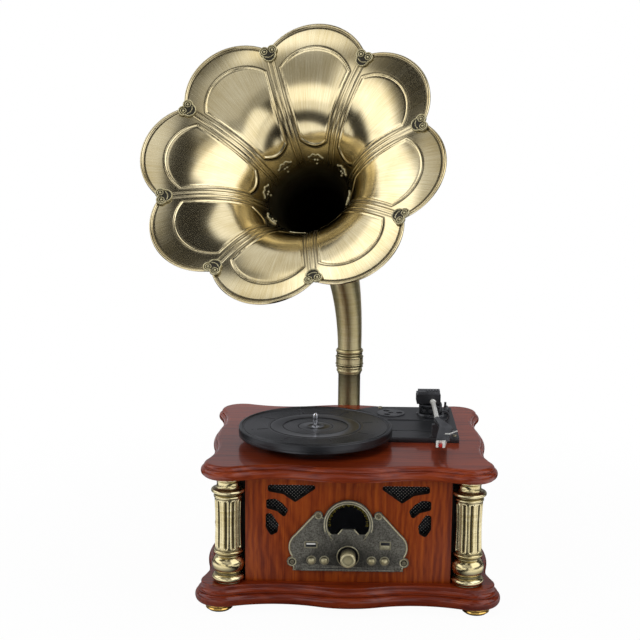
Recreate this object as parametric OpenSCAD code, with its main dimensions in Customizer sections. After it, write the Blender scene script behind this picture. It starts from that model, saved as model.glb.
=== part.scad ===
// Table-top record player: two serpentine wooden boards, four turned columns, a belt-driven
// turntable on a moulded deck and a petal horn on a tube behind the case. Millimetres.
// Origin: centre of the base board's underside. X to the right, Y to the rear, Z up.

/* [Boards] */
// Overall width of the base board
base_w = 384; // [376:1:396]
// Overall depth of the base board
base_d = 342; // [336:1:352]
// Thickness of the base board
base_t = 26; // [22:1:32]
// Overall width of the top board
top_w = 369; // [364:1:376]
// Overall depth of the top board
top_d = 332; // [328:1:340]
// Thickness of the top board
top_t = 18; // [16:1:24]
// Radius of the rounded lobe at each corner of a board
lobe_r = 34; // [30:1:36]
// Place of the base board's front troughs, as a share of the way from its middle to its lobes
base_trough = 0.551; // [0.52:0.001:0.6]
// The same for the base board's side troughs
base_side_trough = 0.496; // [0.46:0.001:0.53]
// The same for the top board's front troughs
top_trough = 0.578; // [0.52:0.001:0.6]
// The same for the top board's side troughs
top_side_trough = 0.515; // [0.48:0.001:0.55]
// Depth of the front and rear troughs
trough_in = 13; // [8:1:15]
// Depth of the side troughs
side_trough_in = 11; // [9:1:13]
// How far the middle of a side lies inside the corner lobes
side_bulge_in = 5; // [2:1:6]

/* [Case] */
// Height of the case between the two boards
case_h = 135; // [128:1:150]
// Half width of the front and rear panels
panel_hw = 128.5; // [124:0.5:128.5]
// Distance of the panels' outer faces from the centre
panel_y = 141.5; // [141:0.5:143]
// Thickness of the panels
panel_t = 12; // [10:1:14]
// Distance of the side panels' outer faces from the centre
side_x = 155; // [153:1:157]
// Distance of each notch's rear wall from the centre
notch_y = 117; // [110:1:117]
// Distance of each column from the centre across the case
column_x = 150; // [150:0.5:153]
// Distance of each column from the centre along the case
column_y = 138.5; // [138.5:0.5:140]
// Number of flutes on each column
flutes = 10; // [8:1:16]
// Turn of the flutes on the left columns, mirrored on the right ones
flute_turn = 11; // [0:1:18]
// Radius of the feet
foot_r = 17; // [14:0.5:20]
// Height of the feet with their pads
foot_h = 10; // [8:0.5:14]

/* [Turntable] */
// Distance of the spindle from the centre, across
spindle_x = -44; // [-48:1:-40]
// Distance of the spindle from the centre, along
spindle_y = -37; // [-40:1:-34]
// Radius of the spindle, for a record's centre hole
spindle_r = 3.57; // [3.5:0.01:3.6]
// Radius of the platter
platter_r = 100; // [96:1:102]
// Thickness of the platter's rim
platter_t = 11.7; // [10:0.1:13]
// Height of the deck plate above the top board
deck_t = 7.8; // [7:0.1:9]
// Radius of the platter's inner drive rim
drive_r = 60; // [56:1:62]
// Radius of the motor pulley's groove
pulley_r = 4.7; // [4:0.1:6]
// Running clearance of shafts in their bores
run_gap = 0.05; // [0.02:0.01:0.1]

/* [Tonearm] */
// Distance of the tonearm's pivot from the centre, across
arm_x = 115; // [113:1:116]
// Distance of the tonearm's pivot from the centre, along
arm_y = 82; // [80:1:84]
// Radius of the arm tube
arm_tube_r = 3; // [2.5:0.1:3]
// Height of the arm tube's axis above the deck plate
arm_rise = 20.7; // [20.2:0.1:22]

/* [Horn] */
// Distance of the horn's tube behind the centre
tube_y = 187; // [186:1:190]
// Radius of the lower tube
tube_r = 16; // [15:0.5:17]
// Wall of the tubes
tube_wall = 1.2; // [1:0.1:2]
// Wall of the bell
bell_wall = 0.8; // [0.6:0.1:1.2]
// Direction in which the horn looks, to the left of straight ahead
horn_yaw = 15.3; // [0:0.1:30]
// Upward tilt of the horn's axis
horn_tilt = 33.9; // [30:0.1:40]
// Bend radius of the horn's elbow
elbow_bend = 183; // [160:1:190]
// Length of the horn's axis from the elbow to the mouth
horn_len = 252.7; // [240:0.1:270]
// Radius of the rim at the tips of the petals
tip_r = 193.5; // [185:0.5:200]
// Radius of the rim at the notches between the petals
notch_r = 167; // [160:0.5:172]
// Number of petals
petals = 8; // [8]

/* [Hidden] */
$fn = 96;

// Clearances
gap = 0.3;

// Heights of the main levels
top_z = base_t + case_h;
wood_z = top_z + top_t;
deck_z = wood_z + deck_t;
platter_z = deck_z + 2.4;
arm_z = deck_z + arm_rise;

// Edge mouldings of the boards: from height, to height, set back by
base_steps = [[0, 3, 3], [3, 14, 0], [14, 19, 4], [19, base_t, 7]];
top_steps = [[0, 3, 4], [3, 11, 0], [11, 14, 4], [14, top_t, 6.5]];

// Feet under the base board
foot_x = 161;
foot_y = 144;
pad_t = 2;

// Speakers and their cut-outs in the front panel, drawn downward from the top board
speaker_x = 75;
speaker_z = top_z - 43;
speaker_r = 33;
mesh_t = 0.8;
mesh_pitch = 5.4;
mesh_hole_r = 1.7;
cut_r = 3;
cut_outs = [
  [[-97.5, -12.3], [-44.5, -12.3], [-66.5, -28], [-80, -18.5], [-97.5, -15.5]],
  [[-99.5, -31], [-92, -30.5], [-84.5, -35], [-78.5, -42], [-80.5, -47], [-87, -41], [-99.5, -37.5]],
  [[-100, -49.5], [-97.5, -49.5], [-90, -61], [-91, -69], [-95.5, -71.5], [-100, -64]]
];

// Control plate on the front panel
plate_t = 3;
plate_half = 69;
plate_low = 41.5;
cheek = [53, 72];
cheek_r = 21.5;
low_lug = [69.8, 52.9];
low_lug_r = 6.5;
high_lug = [37.3, 113.3];
high_lug_r = 5.5;
dial_z = 102.3;
bezel_r = 31.5;
window_r = 26;
window_low = 89;
bezel_t = 2.5;
knob_z = 60.3;
knob_r = 9.6;
knob_len = 17.5;
well_r = 12.7;
well_in = 1.4;
pot_t = 7;
bush_r = 4.6;
pot_shaft_r = 3;
button_z = 55.2;
button_r = 4.4;
button_xs = [-45.7, -29.5, 29.5, 45.7];
button_travel = 0.8;
flange_out = 1.2;
port_x = 46.3;
port_z = 75.4;
port_in = 0.5;
usb_w = 13.2;
usb_h = 5.8;
card_w = 10.8;
card_h = 7.6;
hatch = [56, 47.5, 91];
board_y = -128;
board_t = 1.6;
switch_t = 3.5;
stand_r = 2.5;
stands = [[-53.2, 50.3], [53.2, 50.3], [-53.2, 86], [53.2, 86]];
screw_r = 1.5;
head_r = 3.1;
head_t = 1.8;

// Turntable
motor_turn = 45;
motor_reach = drive_r + 18;
motor_x = spindle_x + motor_reach * cos(motor_turn);
motor_y = spindle_y + motor_reach * sin(motor_turn);
motor_r = 16;
motor_h = 24;
shaft_r = 1;
belt_t = 0.8;
belt_h = 4;
pulley_h = 7;
pulley_z = deck_z + 1.8;
bearing_r = 5;
spindle_top = platter_z + platter_t + 15.6;
face_in = 1.6;
deck_right = 143.5;
deck_front = -38;
deck_rear = 120;
deck_left = -30;
deck_round_r = 62;
deck_step = 1;
deck_step_y = 50.5;
deck_strip = 10;
adapter_pos = [58, 82.5];
adapter_r = 19.05;
adapter_t = 4.6;
adapter_well = 3.5;
deck_screw_pos = [[138, -31], [138, 113], [44, 113]];

// Tonearm
base_disc_r = 22;
pivot_r = 4;
turret_t = 2.7;
hinge_z = deck_z + 12.2;
hinge_r = 1.5;
cheek_t = 4;
yoke = [-18, 13];
block = [-22, 10.5];
lever_x = [15.9, 20.6];
lever_y = -4;
lever_r = 5;
lever_pin_r = 1.5;
lever_z = deck_z + 3 + gap + lever_r;
lift_r = 24;
lift_from = 226;
lift_span = 62;
lift_half = 2.6;
lift_stem_r = 2;
stem_turn = 250;
rest_y = [-37, -28];
rest_slot = 2.2;
tube_front = rest_y[1] + 2;
sleeve_r = 4;
clip_hinge = [9.5, -3.5];
clip_pin_r = 1;
clip_open = 62;
shell_z = deck_z + 20.8;
shell_t = 5;
shell_turn = 9.8;
cart_pos = [114, -130];

// Horn: the bell's radius follows a hyperbola along its axis
flare_k = 7430;
flare_s = 44.3;
flare_c = 1.1;
throat_depth = 100;
bead_r = 2;
horn_roll = -2.5;
elbow_r = 17;
collar_z = 229;
collar_h = 28;
bead_h = 7.9;
tube_top = 245.8;
bend_z = 255.5;
pipe_bend = 39.5;
pipe_z = 105;
flange_r = 30;
flange_t = 6;
flange_screw_r = 23;

// Terminals on the rear panel
term_x = 88;
term_z = 74;
term_w = 68;
term_h = 52;
term_t = 2;
jack_r = 4.2;
jack_xs = [-24, -9];
jack_zs = [-9, 9];
inlet_w = 15;
inlet_h = 9;
inlet_x = 13;
inlet_z = 14;
rocker_z = -9;
rocker_box = [14, 22, 15];
rocker_wall = 1.2;
rocker_pin_r = 1;
rocker_pin_in = 3;
rocker_tilt = 8;
supply = [78, 52, 36];
supply_lid_in = 6;
supply_lid_t = 8;

function flare_r(depth) = flare_k / (depth + flare_s) - flare_c;
function flare_depth(r) = flare_k / (r + flare_c) - flare_s;
function flare_slope(r) = flare_k / pow(r + flare_c, 2);

bend_angle = 90 - horn_tilt;
neck_r = flare_r(horn_len);
medallion_r = 7;
medallion_t = 4.1;
medallion_in = 1.5;
// Middle of the mouth, where the rim's notches lie
mouth_reach = elbow_bend * (1 - cos(bend_angle)) + horn_len * cos(horn_tilt);
mouth_rise = elbow_bend * sin(bend_angle) + horn_len * sin(horn_tilt);

// Places its children on the horn's axis: Z out of the mouth, origin in the mouth plane
module at_mouth() {
  translate([0, tube_y, bend_z]) rotate([0, 0, -horn_yaw])
    translate([0, -mouth_reach, mouth_rise]) rotate([bend_angle, 0, 0]) children();
}

// Points on an arc, without its last one
function arc(c, r, from, to, n) =
  [for (i = [0 : n - 1]) let (a = from + (to - from) * i / n) c + r * [cos(a), sin(a)]];

function turned(pts, a) =
  [for (p = pts) [p[0] * cos(a) - p[1] * sin(a), p[0] * sin(a) + p[1] * cos(a)]];

// One wavy edge of a board, outward along Y: radius and centre of its troughs and of its bulge,
// and the directions from the right trough's centre to the corner lobe and to the bulge
function edge_form(reach, lobe_at, trough_at, trough, bulge) =
  let (
    span = lobe_at - trough_at,
    trough_r = (pow(span, 2) + pow(trough, 2)) / (2 * trough) - lobe_r,
    rise = trough - bulge,
    bulge_r = (pow(trough_at, 2) + pow(rise, 2)) / (2 * rise) - trough_r,
    trough_c = reach - trough + trough_r,
    bulge_c = reach - bulge - bulge_r
  )
  [trough_r, [trough_at, trough_c], bulge_r, [0, bulge_c],
    atan2(reach - lobe_r - trough_c, span), atan2(bulge_c - trough_c, -trough_at)];

// Points of that edge from its right end to its left end
function edge_points(f, grow) = concat(
  arc(f[1], f[0] - grow, f[4], f[5], 12),
  arc(f[3], f[2] + grow, f[5] + 180, -f[5], 14),
  arc([-f[1][0], f[1][1]], f[0] - grow, 180 - f[5], 180 - f[4], 12)
);

// Plan of a board, grown or shrunk evenly: four wavy edges and a round lobe at each corner
module serpentine(size, troughs, grow) {
  corner = [size[0] / 2 - lobe_r, size[1] / 2 - lobe_r];
  across = edge_form(size[1] / 2, corner[0], troughs[0] * corner[0], trough_in, 0);
  along = edge_form(size[0] / 2, corner[1], troughs[1] * corner[1], side_trough_in, side_bulge_in);
  polygon([
    for (a = [0, 90, 180, 270])
      let (
        even = a % 180 == 0,
        edge = even ? across : along,
        next = even ? along : across,
        lobe = turned([even ? [-corner[0], corner[1]] : [-corner[1], corner[0]]], a)[0]
      )
      each concat(
        turned(edge_points(edge, grow), a),
        arc(lobe, lobe_r + grow, a - edge[4], a + 270 + next[4], 18)
      )
  ]);
}

module moulded_board(size, troughs, steps) {
  for (s = steps)
    translate([0, 0, s[0]]) linear_extrude(s[1] - s[0]) serpentine(size, troughs, -s[2]);
}

// Outline moved out by r, with an arc at each outer corner; its points run clockwise
function soft_outline(v, r) =
  let (n = len(v))
  [
    for (i = [0 : n - 1])
      let (
        before = v[i] - v[(i + n - 1) % n],
        after = v[(i + 1) % n] - v[i],
        from = atan2(before[1], before[0]) + 90,
        raw = atan2(after[1], after[0]) + 90,
        to = raw > from ? raw - 360 : raw,
        sharp = [cos(from) + cos(to), sin(from) + sin(to)] / (1 + cos(to - from))
      )
      each (from - to < 180 ? concat(arc(v[i], r, from, to, 6), [v[i] + r * [cos(to), sin(to)]])
        : [v[i] + r * sharp])
  ];

// Lays a drawing made in X and Z on a plane across the case: y is its front, t its depth
module upright(y, t) {
  translate([0, y + t, 0]) rotate([90, 0, 0]) linear_extrude(t) children();
}

// Round bar along Y
module bar_y(x, z, y, len, r) {
  translate([x, y, z]) rotate([-90, 0, 0]) cylinder(r = r, h = len);
}

// Round bar along X
module bar_x(y, z, x, len, r) {
  translate([x, y, z]) rotate([0, 90, 0]) cylinder(r = r, h = len);
}

// Closed shell from loops of points: each loop joins the next, and the last joins the first
module shell(loops) {
  n = len(loops);
  m = len(loops[0]);
  polyhedron(
    points = [for (l = loops) each l],
    faces = [
      for (a = [0 : n - 1], j = [0 : m - 1])
        let (b = (a + 1) % n, k = (j + 1) % m)
          each [[a * m + j, a * m + k, b * m + k], [a * m + j, b * m + k, b * m + j]]
    ]
  );
}

module base_board() {
  color("#7a2f14")
    moulded_board([base_w, base_d], [base_trough, base_side_trough], base_steps);
}

module top_board() {
  color("#8a3a1a") difference() {
    translate([0, 0, top_z])
      moulded_board([top_w, top_d], [top_trough, top_side_trough], top_steps);
    translate([motor_x, motor_y, top_z - 1]) cylinder(r = motor_r + 3, h = top_t + 2);
  }
}

module panel_blank(y) {
  translate([-panel_hw, y, base_t]) cube([2 * panel_hw, panel_t, case_h]);
}

module front_panel() {
  color("#a5491c") difference() {
    panel_blank(-panel_y);
    for (s = [1, -1]) scale([s, 1, 1])
      for (v = cut_outs) upright(-panel_y - 1, panel_t + 2)
        translate([0, top_z]) polygon(soft_outline(v, cut_r));
    translate([-hatch[0], -panel_y - 1, hatch[1]])
      cube([2 * hatch[0], panel_t + 2, hatch[2] - hatch[1]]);
    bar_y(0, dial_z, -panel_y - 1, panel_t + 2, window_r + 2);
    for (s = [-1, 1], p = [low_lug, high_lug])
      bar_y(s * p[0], p[1], -panel_y - 1, 10, screw_r);
  }
}

module rear_panel() {
  color("#5b2410") difference() {
    panel_blank(panel_y - panel_t);
    bar_y(0, pipe_z, panel_y - panel_t - 1, panel_t + 2, tube_r - tube_wall);
    translate([term_x - term_w / 2 + 5, panel_y - panel_t - 1, term_z - term_h / 2 + 5])
      cube([term_w - 10, panel_t + 2, term_h - 10]);
    for (a = [45 : 90 : 315])
      bar_y(flange_screw_r * cos(a), pipe_z + flange_screw_r * sin(a), panel_y - 8, 9, screw_r);
    for (s = [-1, 1]) bar_y(term_x + s * (term_w / 2 - 2.5), term_z, panel_y - 8, 9, screw_r);
  }
}

module side_panel(s) {
  color("#7a2f14") translate([s > 0 ? side_x - panel_t : -side_x, -notch_y, base_t])
    cube([panel_t, 2 * notch_y, case_h]);
}

// Four L-shaped posts that close the corners behind the columns
module corner_posts() {
  wall = 10;
  inset = panel_y - panel_t;
  color("#1a1512") for (sx = [-1, 1], sy = [-1, 1]) scale([sx, sy, 1])
    translate([0, 0, base_t]) linear_extrude(case_h)
      polygon([
        [panel_hw - wall, notch_y - wall], [side_x - panel_t, notch_y - wall],
        [side_x - panel_t, notch_y], [panel_hw, notch_y],
        [panel_hw, inset], [panel_hw - wall, inset]
      ]);
}

// Turned column: base torus, vase, rings, fluted shaft and neck
module column() {
  shaft_low = 43;
  shaft_high = 107.5;
  difference() {
    rotate_extrude() {
      square([17, 13]);
      translate([14.2, 6.5]) circle(r = 6);
      square([14, 38]);
      translate([10.8, 24.5]) circle(r = 9.5);
      translate([0, 36.7]) square([17, 5.2]);
      translate([16.2, 39.3]) circle(r = 1.8);
      polygon([
        [0, 41], [16, 41], [15.5, 55], [15.1, 75], [15.6, 95], [16.5, 108.8], [0, 108.8]
      ]);
      square([14, case_h]);
      square([0.1, case_h]);
      translate([0, 108.8]) square([16.4, 3.9]);
      translate([16, 110.7]) circle(r = 2);
      translate([0, 115.5]) square([18.6, 5.1]);
      translate([18.6, 118.05]) circle(r = 2.55);
      translate([0, 120]) square([14.2, case_h - 120]);
    }
    for (i = [0 : flutes - 1]) rotate([0, 0, i * 360 / flutes])
      translate([17, 0, 0]) {
        translate([0, 0, shaft_low + 3.5]) cylinder(r = 2.2, h = shaft_high - shaft_low - 7);
        translate([0, 0, shaft_low + 3.5]) sphere(r = 2.2);
        translate([0, 0, shaft_high - 3.5]) sphere(r = 2.2);
      }
  }
}

module columns() {
  color("#9c8a55") for (x = [-column_x, column_x], y = [-column_y, column_y])
    translate([x, y, base_t]) rotate([0, 0, x > 0 ? -flute_turn : flute_turn]) column();
}

module feet() {
  color("#b8964e") for (x = [-foot_x, foot_x], y = [-foot_y, foot_y])
    translate([x, y, -foot_h + pad_t]) rotate_extrude()
      polygon([
        [0, 0], [foot_r - 1.5, 0], [foot_r, 1.5], [foot_r, foot_h - pad_t - 2.5],
        [foot_r - 2.5, foot_h - pad_t], [0, foot_h - pad_t]
      ]);
}

module foot_pads() {
  color("#222222") for (x = [-foot_x, foot_x], y = [-foot_y, foot_y])
    translate([x, y, -foot_h]) cylinder(r = foot_r - 3, h = pad_t);
}

// Perforated sheet behind the cut-outs of one speaker
module grille(s) {
  left = -107.5;
  low = top_z - 78;
  step = [-70, top_z - 56];
  right = [-38, top_z - 33];
  top = top_z - 5;
  y = -panel_y + panel_t;
  color("#181818") scale([s, 1, 1]) difference() {
    upright(y, mesh_t) polygon([[left, low], [step[0], low], step, right, [right[0], top], [left, top]]);
    for (j = [0 : 15], i = [0 : 12])
      let (x = left + 4.5 + (i + (j % 2) / 2) * mesh_pitch * 1.02, z = low + 4 + j * mesh_pitch * 0.87)
        if (x < step[0] - 3 || (z > right[1] + 1 && x < right[0] - 3))
          translate([x, y - 1, z]) rotate([-90, 0, 0]) cylinder(r = mesh_hole_r, h = mesh_t + 2, $fn = 16);
  }
}

// Round speaker: basket, cone and magnet
module speaker(s) {
  y = -panel_y + panel_t + mesh_t;
  color("#2a2a2a") translate([s * speaker_x, y, speaker_z]) rotate([-90, 0, 0]) rotate_extrude()
    polygon([
      [0, 12], [8, 12], [10, 14], [26, 4], [28, 2.5], [29.5, 3.5], [29.5, 0], [speaker_r, 0],
      [speaker_r, 3], [31, 3], [20, 20], [20, 32], [0, 32]
    ]);
}

// Outline of the control plate, drawn in X and Z
module plate_outline() {
  lean = 51;
  translate([0, dial_z]) circle(r = bezel_r);
  polygon([
    [-plate_half, plate_low], [plate_half, plate_low], [plate_half, low_lug[1]],
    [cheek[0] + cheek_r, cheek[1]], [cheek[0], cheek[1]],
    [cheek[0] + cheek_r * cos(lean), cheek[1] + cheek_r * sin(lean)],
    [high_lug[0] + high_lug_r * cos(lean), high_lug[1] + high_lug_r * sin(lean)],
    [high_lug[0], high_lug[1]], [0, dial_z], [-high_lug[0], high_lug[1]],
    [-high_lug[0] - high_lug_r * cos(lean), high_lug[1] + high_lug_r * sin(lean)],
    [-cheek[0] - cheek_r * cos(lean), cheek[1] + cheek_r * sin(lean)],
    [-cheek[0], cheek[1]], [-cheek[0] - cheek_r, cheek[1]], [-plate_half, low_lug[1]]
  ]);
  for (s = [-1, 1]) {
    translate([s * cheek[0], cheek[1]]) circle(r = cheek_r);
    translate([s * low_lug[0], low_lug[1]]) circle(r = low_lug_r);
    translate([s * high_lug[0], high_lug[1]]) circle(r = high_lug_r);
  }
}

// Window of the dial: a round opening with a hump at the bottom
module window_outline() {
  difference() {
    intersection() {
      translate([0, dial_z]) circle(r = window_r);
      translate([-window_r, window_low]) square([2 * window_r, 2 * window_r]);
    }
    polygon([
      [-13, window_low - 1], [13, window_low - 1], [7.5, window_low + 6.7], [-7.5, window_low + 6.7]
    ]);
  }
}

module control_plate() {
  face = -panel_y - plate_t;
  color("#77776b") {
    difference() {
      union() {
        upright(face, plate_t) plate_outline();
        upright(face - bezel_t, bezel_t) difference() {
          translate([0, dial_z]) circle(r = bezel_r);
          translate([0, dial_z]) circle(r = bezel_r - 3.5);
          translate([-bezel_r, dial_z - 2 * bezel_r - 20]) square([2 * bezel_r, 2 * bezel_r]);
        }
        translate([-58, face - 1, plate_low]) cube([116, 1, 2.5]);
      }
      upright(face - 1, plate_t + 2) window_outline();
      bar_y(0, knob_z, face - 1, well_in + 1, well_r);
      bar_y(0, knob_z, face, plate_t + 1, bush_r);
      for (x = button_xs) bar_y(x, button_z, face - 1, plate_t + 2, button_r + gap);
      translate([-port_x - usb_w / 2, face - 1, port_z - usb_h / 2])
        cube([usb_w, plate_t + 2, usb_h]);
      translate([port_x - card_w / 2, face - 1, port_z - card_h / 2])
        cube([card_w, plate_t + 2, card_h]);
      for (s = [-1, 1], p = [low_lug, high_lug])
        bar_y(s * p[0], p[1], face - 1, plate_t + 2, screw_r);
    }
    for (p = stands) bar_y(p[0], p[1], -panel_y, board_y + panel_y, stand_r);
  }
}

// Countersunk-looking screw along Y, head at y, pointing to the rear or to the front
module screw(len) {
  difference() {
    union() {
      cylinder(r = screw_r, h = len);
      translate([0, 0, -head_t]) cylinder(r1 = head_r - 0.6, r2 = head_r, h = head_t);
    }
    translate([-2, -0.35, -head_t - 0.5]) cube([4, 0.7, 1.3]);
    translate([-0.35, -2, -head_t - 0.5]) cube([0.7, 4, 1.3]);
  }
}

module screws() {
  color("#8d8160") {
    for (s = [-1, 1], p = [low_lug, high_lug])
      translate([s * p[0], -panel_y - plate_t, p[1]]) rotate([-90, 0, 0]) screw(9);
    for (p = deck_screw_pos) translate([p[0], p[1], deck_z]) rotate([180, 0, 0]) screw(deck_t);
    for (a = [45 : 90 : 315])
      translate([flange_screw_r * cos(a), panel_y + flange_t, pipe_z + flange_screw_r * sin(a)])
        rotate([90, 0, 0]) screw(flange_t + 6);
    for (s = [-1, 1])
      translate([term_x + s * (term_w / 2 - 2.5), panel_y + term_t, term_z])
        rotate([90, 0, 0]) screw(term_t + 6);
  }
}

module dial_lens() {
  color([0.8, 0.85, 0.85, 0.3]) bar_y(0, dial_z, -panel_y, 1, window_r + 1.5);
}

module dial_face() {
  color("#15181c") bar_y(0, dial_z, -panel_y + 1, 1.6, window_r + 1.5);
}

port_front = -panel_y - plate_t + port_in;
port_depth = board_y - port_front;

// Metal shell of the port with its contact tongue
module usb_port() {
  wall = 0.4;
  color("#c8c8c8") translate([-port_x, port_front, port_z]) {
    difference() {
      translate([-usb_w / 2, 0, -usb_h / 2]) cube([usb_w, port_depth, usb_h]);
      translate([-usb_w / 2 + wall, -1, -usb_h / 2 + wall])
        cube([usb_w - 2 * wall, port_depth, usb_h - 2 * wall]);
    }
    translate([-usb_w / 2 + 1, 0.8, 0.3]) cube([usb_w - 2, port_depth - 1, 1.8]);
  }
}

// Card guide: a solid lower half and a slot in the upper half
module card_slot() {
  slot = [9.6, 2.6];
  color("#3a3a3a") translate([port_x, port_front, port_z]) difference() {
    translate([-card_w / 2, 0, -card_h / 2]) cube([card_w, port_depth, card_h]);
    translate([-slot[0] / 2, -1, 0.5]) cube([slot[0], port_depth, slot[1]]);
  }
}

// Circuit board behind the plate, with one switch behind each button
module control_board() {
  color("#1f5a34") {
    translate([-57, board_y, hatch[1] + 0.1]) cube([114, board_t, 41.4]);
    for (x = button_xs)
      translate([x - 3, board_y - switch_t, button_z - 3]) cube([6, switch_t, 6]);
  }
}

// Volume control on the board, with the bush that guides the knob's shaft
module volume_pot() {
  front = -panel_y - plate_t + well_in;
  color("#9a9a9a") difference() {
    union() {
      bar_y(0, knob_z, board_y - pot_t, pot_t, 8.5);
      bar_y(0, knob_z, front, board_y - front - 1, bush_r);
    }
    bar_y(0, knob_z, front - 1, board_y - front - 1, pot_shaft_r + run_gap);
  }
}

// Knob with a dished face, on its shaft
module volume_knob() {
  rear = -panel_y - plate_t + well_in - gap;
  color("#a3945f") {
    translate([0, rear, knob_z]) rotate([90, 0, 0]) rotate_extrude()
      polygon([
        [0, 0], [knob_r, 0], [knob_r, knob_len - 2.5], [knob_r - 0.8, knob_len - 0.8],
        [knob_r - 2.2, knob_len], [6.6, knob_len], [6.2, knob_len - 0.7], [0, knob_len - 0.7]
      ]);
    bar_y(0, knob_z, rear, board_y - 3 - rear, pot_shaft_r);
  }
}

// Domed push button: cap through the plate, flange behind it and a stem to its switch
module button(i) {
  face = panel_y + plate_t;
  stem = -board_y + switch_t + button_travel + gap;
  back = panel_y - gap;
  flange = button_r + flange_out;
  color("#948a63") translate([button_xs[i], 0, button_z]) rotate([90, 0, 0]) rotate_extrude()
    polygon([
      [0, stem], [1.5, stem], [1.5, back - 2], [flange, back - 2], [flange, back],
      [button_r, back], [button_r, face + 1.6], [button_r - 0.7, face + 2.5],
      [button_r - 2.2, face + 3.1], [0, face + 3.3]
    ]);
}

module deck_outline() {
  slope = 0.69;
  polygon([
    [deck_left, deck_front], [deck_right, deck_front], [deck_right, deck_rear],
    [36, deck_rear], [deck_left, deck_rear - (36 - deck_left) * slope]
  ]);
  translate([spindle_x, spindle_y]) circle(r = deck_round_r);
}

// Moulded plate under the platter and the tonearm
module deck_plate() {
  groove_y = -4;
  low_w = deck_right - deck_strip;
  color("#1c1d1f") difference() {
    translate([0, 0, wood_z]) linear_extrude(deck_t) deck_outline();
    translate([0, deck_front - 1, deck_z - deck_step])
      cube([low_w, deck_step_y - deck_front + 1, deck_step + 1]);
    translate([0, groove_y - 1, deck_z - deck_step - 0.8]) cube([low_w, 2, 2]);
    translate([adapter_pos[0], adapter_pos[1], deck_z - adapter_well])
      cylinder(r = adapter_r + gap, h = adapter_well + 1);
    translate([motor_x, motor_y, wood_z - 1]) cylinder(r = 8, h = deck_t + 2);
    for (p = deck_screw_pos) translate([p[0], p[1], wood_z - 1])
      cylinder(r = screw_r, h = deck_t + 2);
  }
}

// Motor can under the deck plate, on a flange
module motor() {
  color("#a8a8a8") translate([motor_x, motor_y, 0]) {
    translate([0, 0, wood_z - motor_h]) cylinder(r = motor_r, h = motor_h);
    translate([0, 0, wood_z - 1]) cylinder(r = 5, h = 4);
    translate([0, 0, wood_z]) cylinder(r = shaft_r, h = deck_t + 9);
  }
}

module motor_pulley() {
  color("#c9a24a") translate([motor_x, motor_y, pulley_z]) difference() {
    rotate_extrude() polygon([
      [0, 0], [pulley_r + 1, 0], [pulley_r + 1, 0.8], [pulley_r, 1.3],
      [pulley_r, pulley_h - 1.3], [pulley_r + 1, pulley_h - 0.8], [pulley_r + 1, pulley_h], [0, pulley_h]
    ]);
    translate([0, 0, -1]) cylinder(r = shaft_r + run_gap, h = pulley_h + 2);
  }
}

// Loop round the drive rim and the pulley: two arcs and their common tangents
module belt_outline(grow) {
  big = drive_r + gap + grow;
  small = pulley_r + gap + grow;
  lean = acos((big - small) / motor_reach);
  circle(r = big, $fn = 180);
  translate([motor_reach, 0]) circle(r = small);
  polygon([
    big * [cos(lean), sin(lean)], big * [cos(lean), -sin(lean)],
    [motor_reach + small * cos(lean), -small * sin(lean)],
    [motor_reach + small * cos(lean), small * sin(lean)]
  ]);
}

module drive_belt() {
  color("#141414") translate([spindle_x, spindle_y, pulley_z + (pulley_h - belt_h) / 2])
    rotate([0, 0, motor_turn]) linear_extrude(belt_h) difference() {
      belt_outline(belt_t);
      belt_outline(0);
    }
}

// Bearing that carries the platter, and the pin for the record's centre hole
module spindle() {
  bearing_top = platter_z + platter_t - face_in - gap;
  tip = 2;
  color("#d8d8d8") translate([spindle_x, spindle_y, 0]) {
    translate([0, 0, deck_z]) cylinder(r = 9, h = platter_z - 1 - gap - deck_z);
    translate([0, 0, deck_z]) cylinder(r = bearing_r, h = bearing_top - deck_z);
    translate([0, 0, bearing_top]) cylinder(r = spindle_r, h = spindle_top - tip - bearing_top);
    translate([0, 0, spindle_top - tip]) cylinder(r1 = spindle_r, r2 = spindle_r - tip, h = tip);
  }
}

// Turntable platter: raised rim, ringed face, hub and inner drive rim
module platter() {
  web = 8;
  hub_r = 10;
  bore_r = bearing_r + run_gap;
  face = platter_t - 1;
  well = platter_t - face_in;
  color("#232426") translate([spindle_x, spindle_y, platter_z]) rotate_extrude()
    polygon([
      [bore_r, -1], [hub_r, -1], [hub_r, web], [drive_r - 3, web], [drive_r - 3, -0.9],
      [drive_r, -0.9], [drive_r, web], [platter_r - 3, web], [platter_r - 3, 0],
      [platter_r - 0.5, 0], [platter_r, 0.5], [platter_r, platter_t - 1.2],
      [platter_r - 0.4, platter_t - 0.4], [platter_r - 1.4, platter_t], [platter_r - 3, platter_t],
      [platter_r - 5, face], [60, face], [59.6, face - 0.5], [58.8, face - 0.5], [58.4, face],
      [43, face], [42, well], [23.4, well], [23, well - 0.4], [22, well - 0.4],
      [21.6, well], [bore_r, well]
    ]);
}

// Large-hole record adapter, lifted out of its well by hand
module adapter_45() {
  color("#2a2b2d") translate([adapter_pos[0], adapter_pos[1], deck_z - adapter_well + gap])
    difference() {
      cylinder(r = adapter_r, h = adapter_t);
      translate([0, 0, -1]) cylinder(r = spindle_r + run_gap, h = adapter_t + 2);
      for (a = [0, 120, 240]) rotate([0, 0, a]) translate([11.5, 0, -1])
        cylinder(r = 4.6, h = adapter_t + 2);
    }
}

// Places its children at the tonearm's pivot, on the deck plate
module at_arm() {
  translate([arm_x, arm_y, 0]) children();
}

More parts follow.
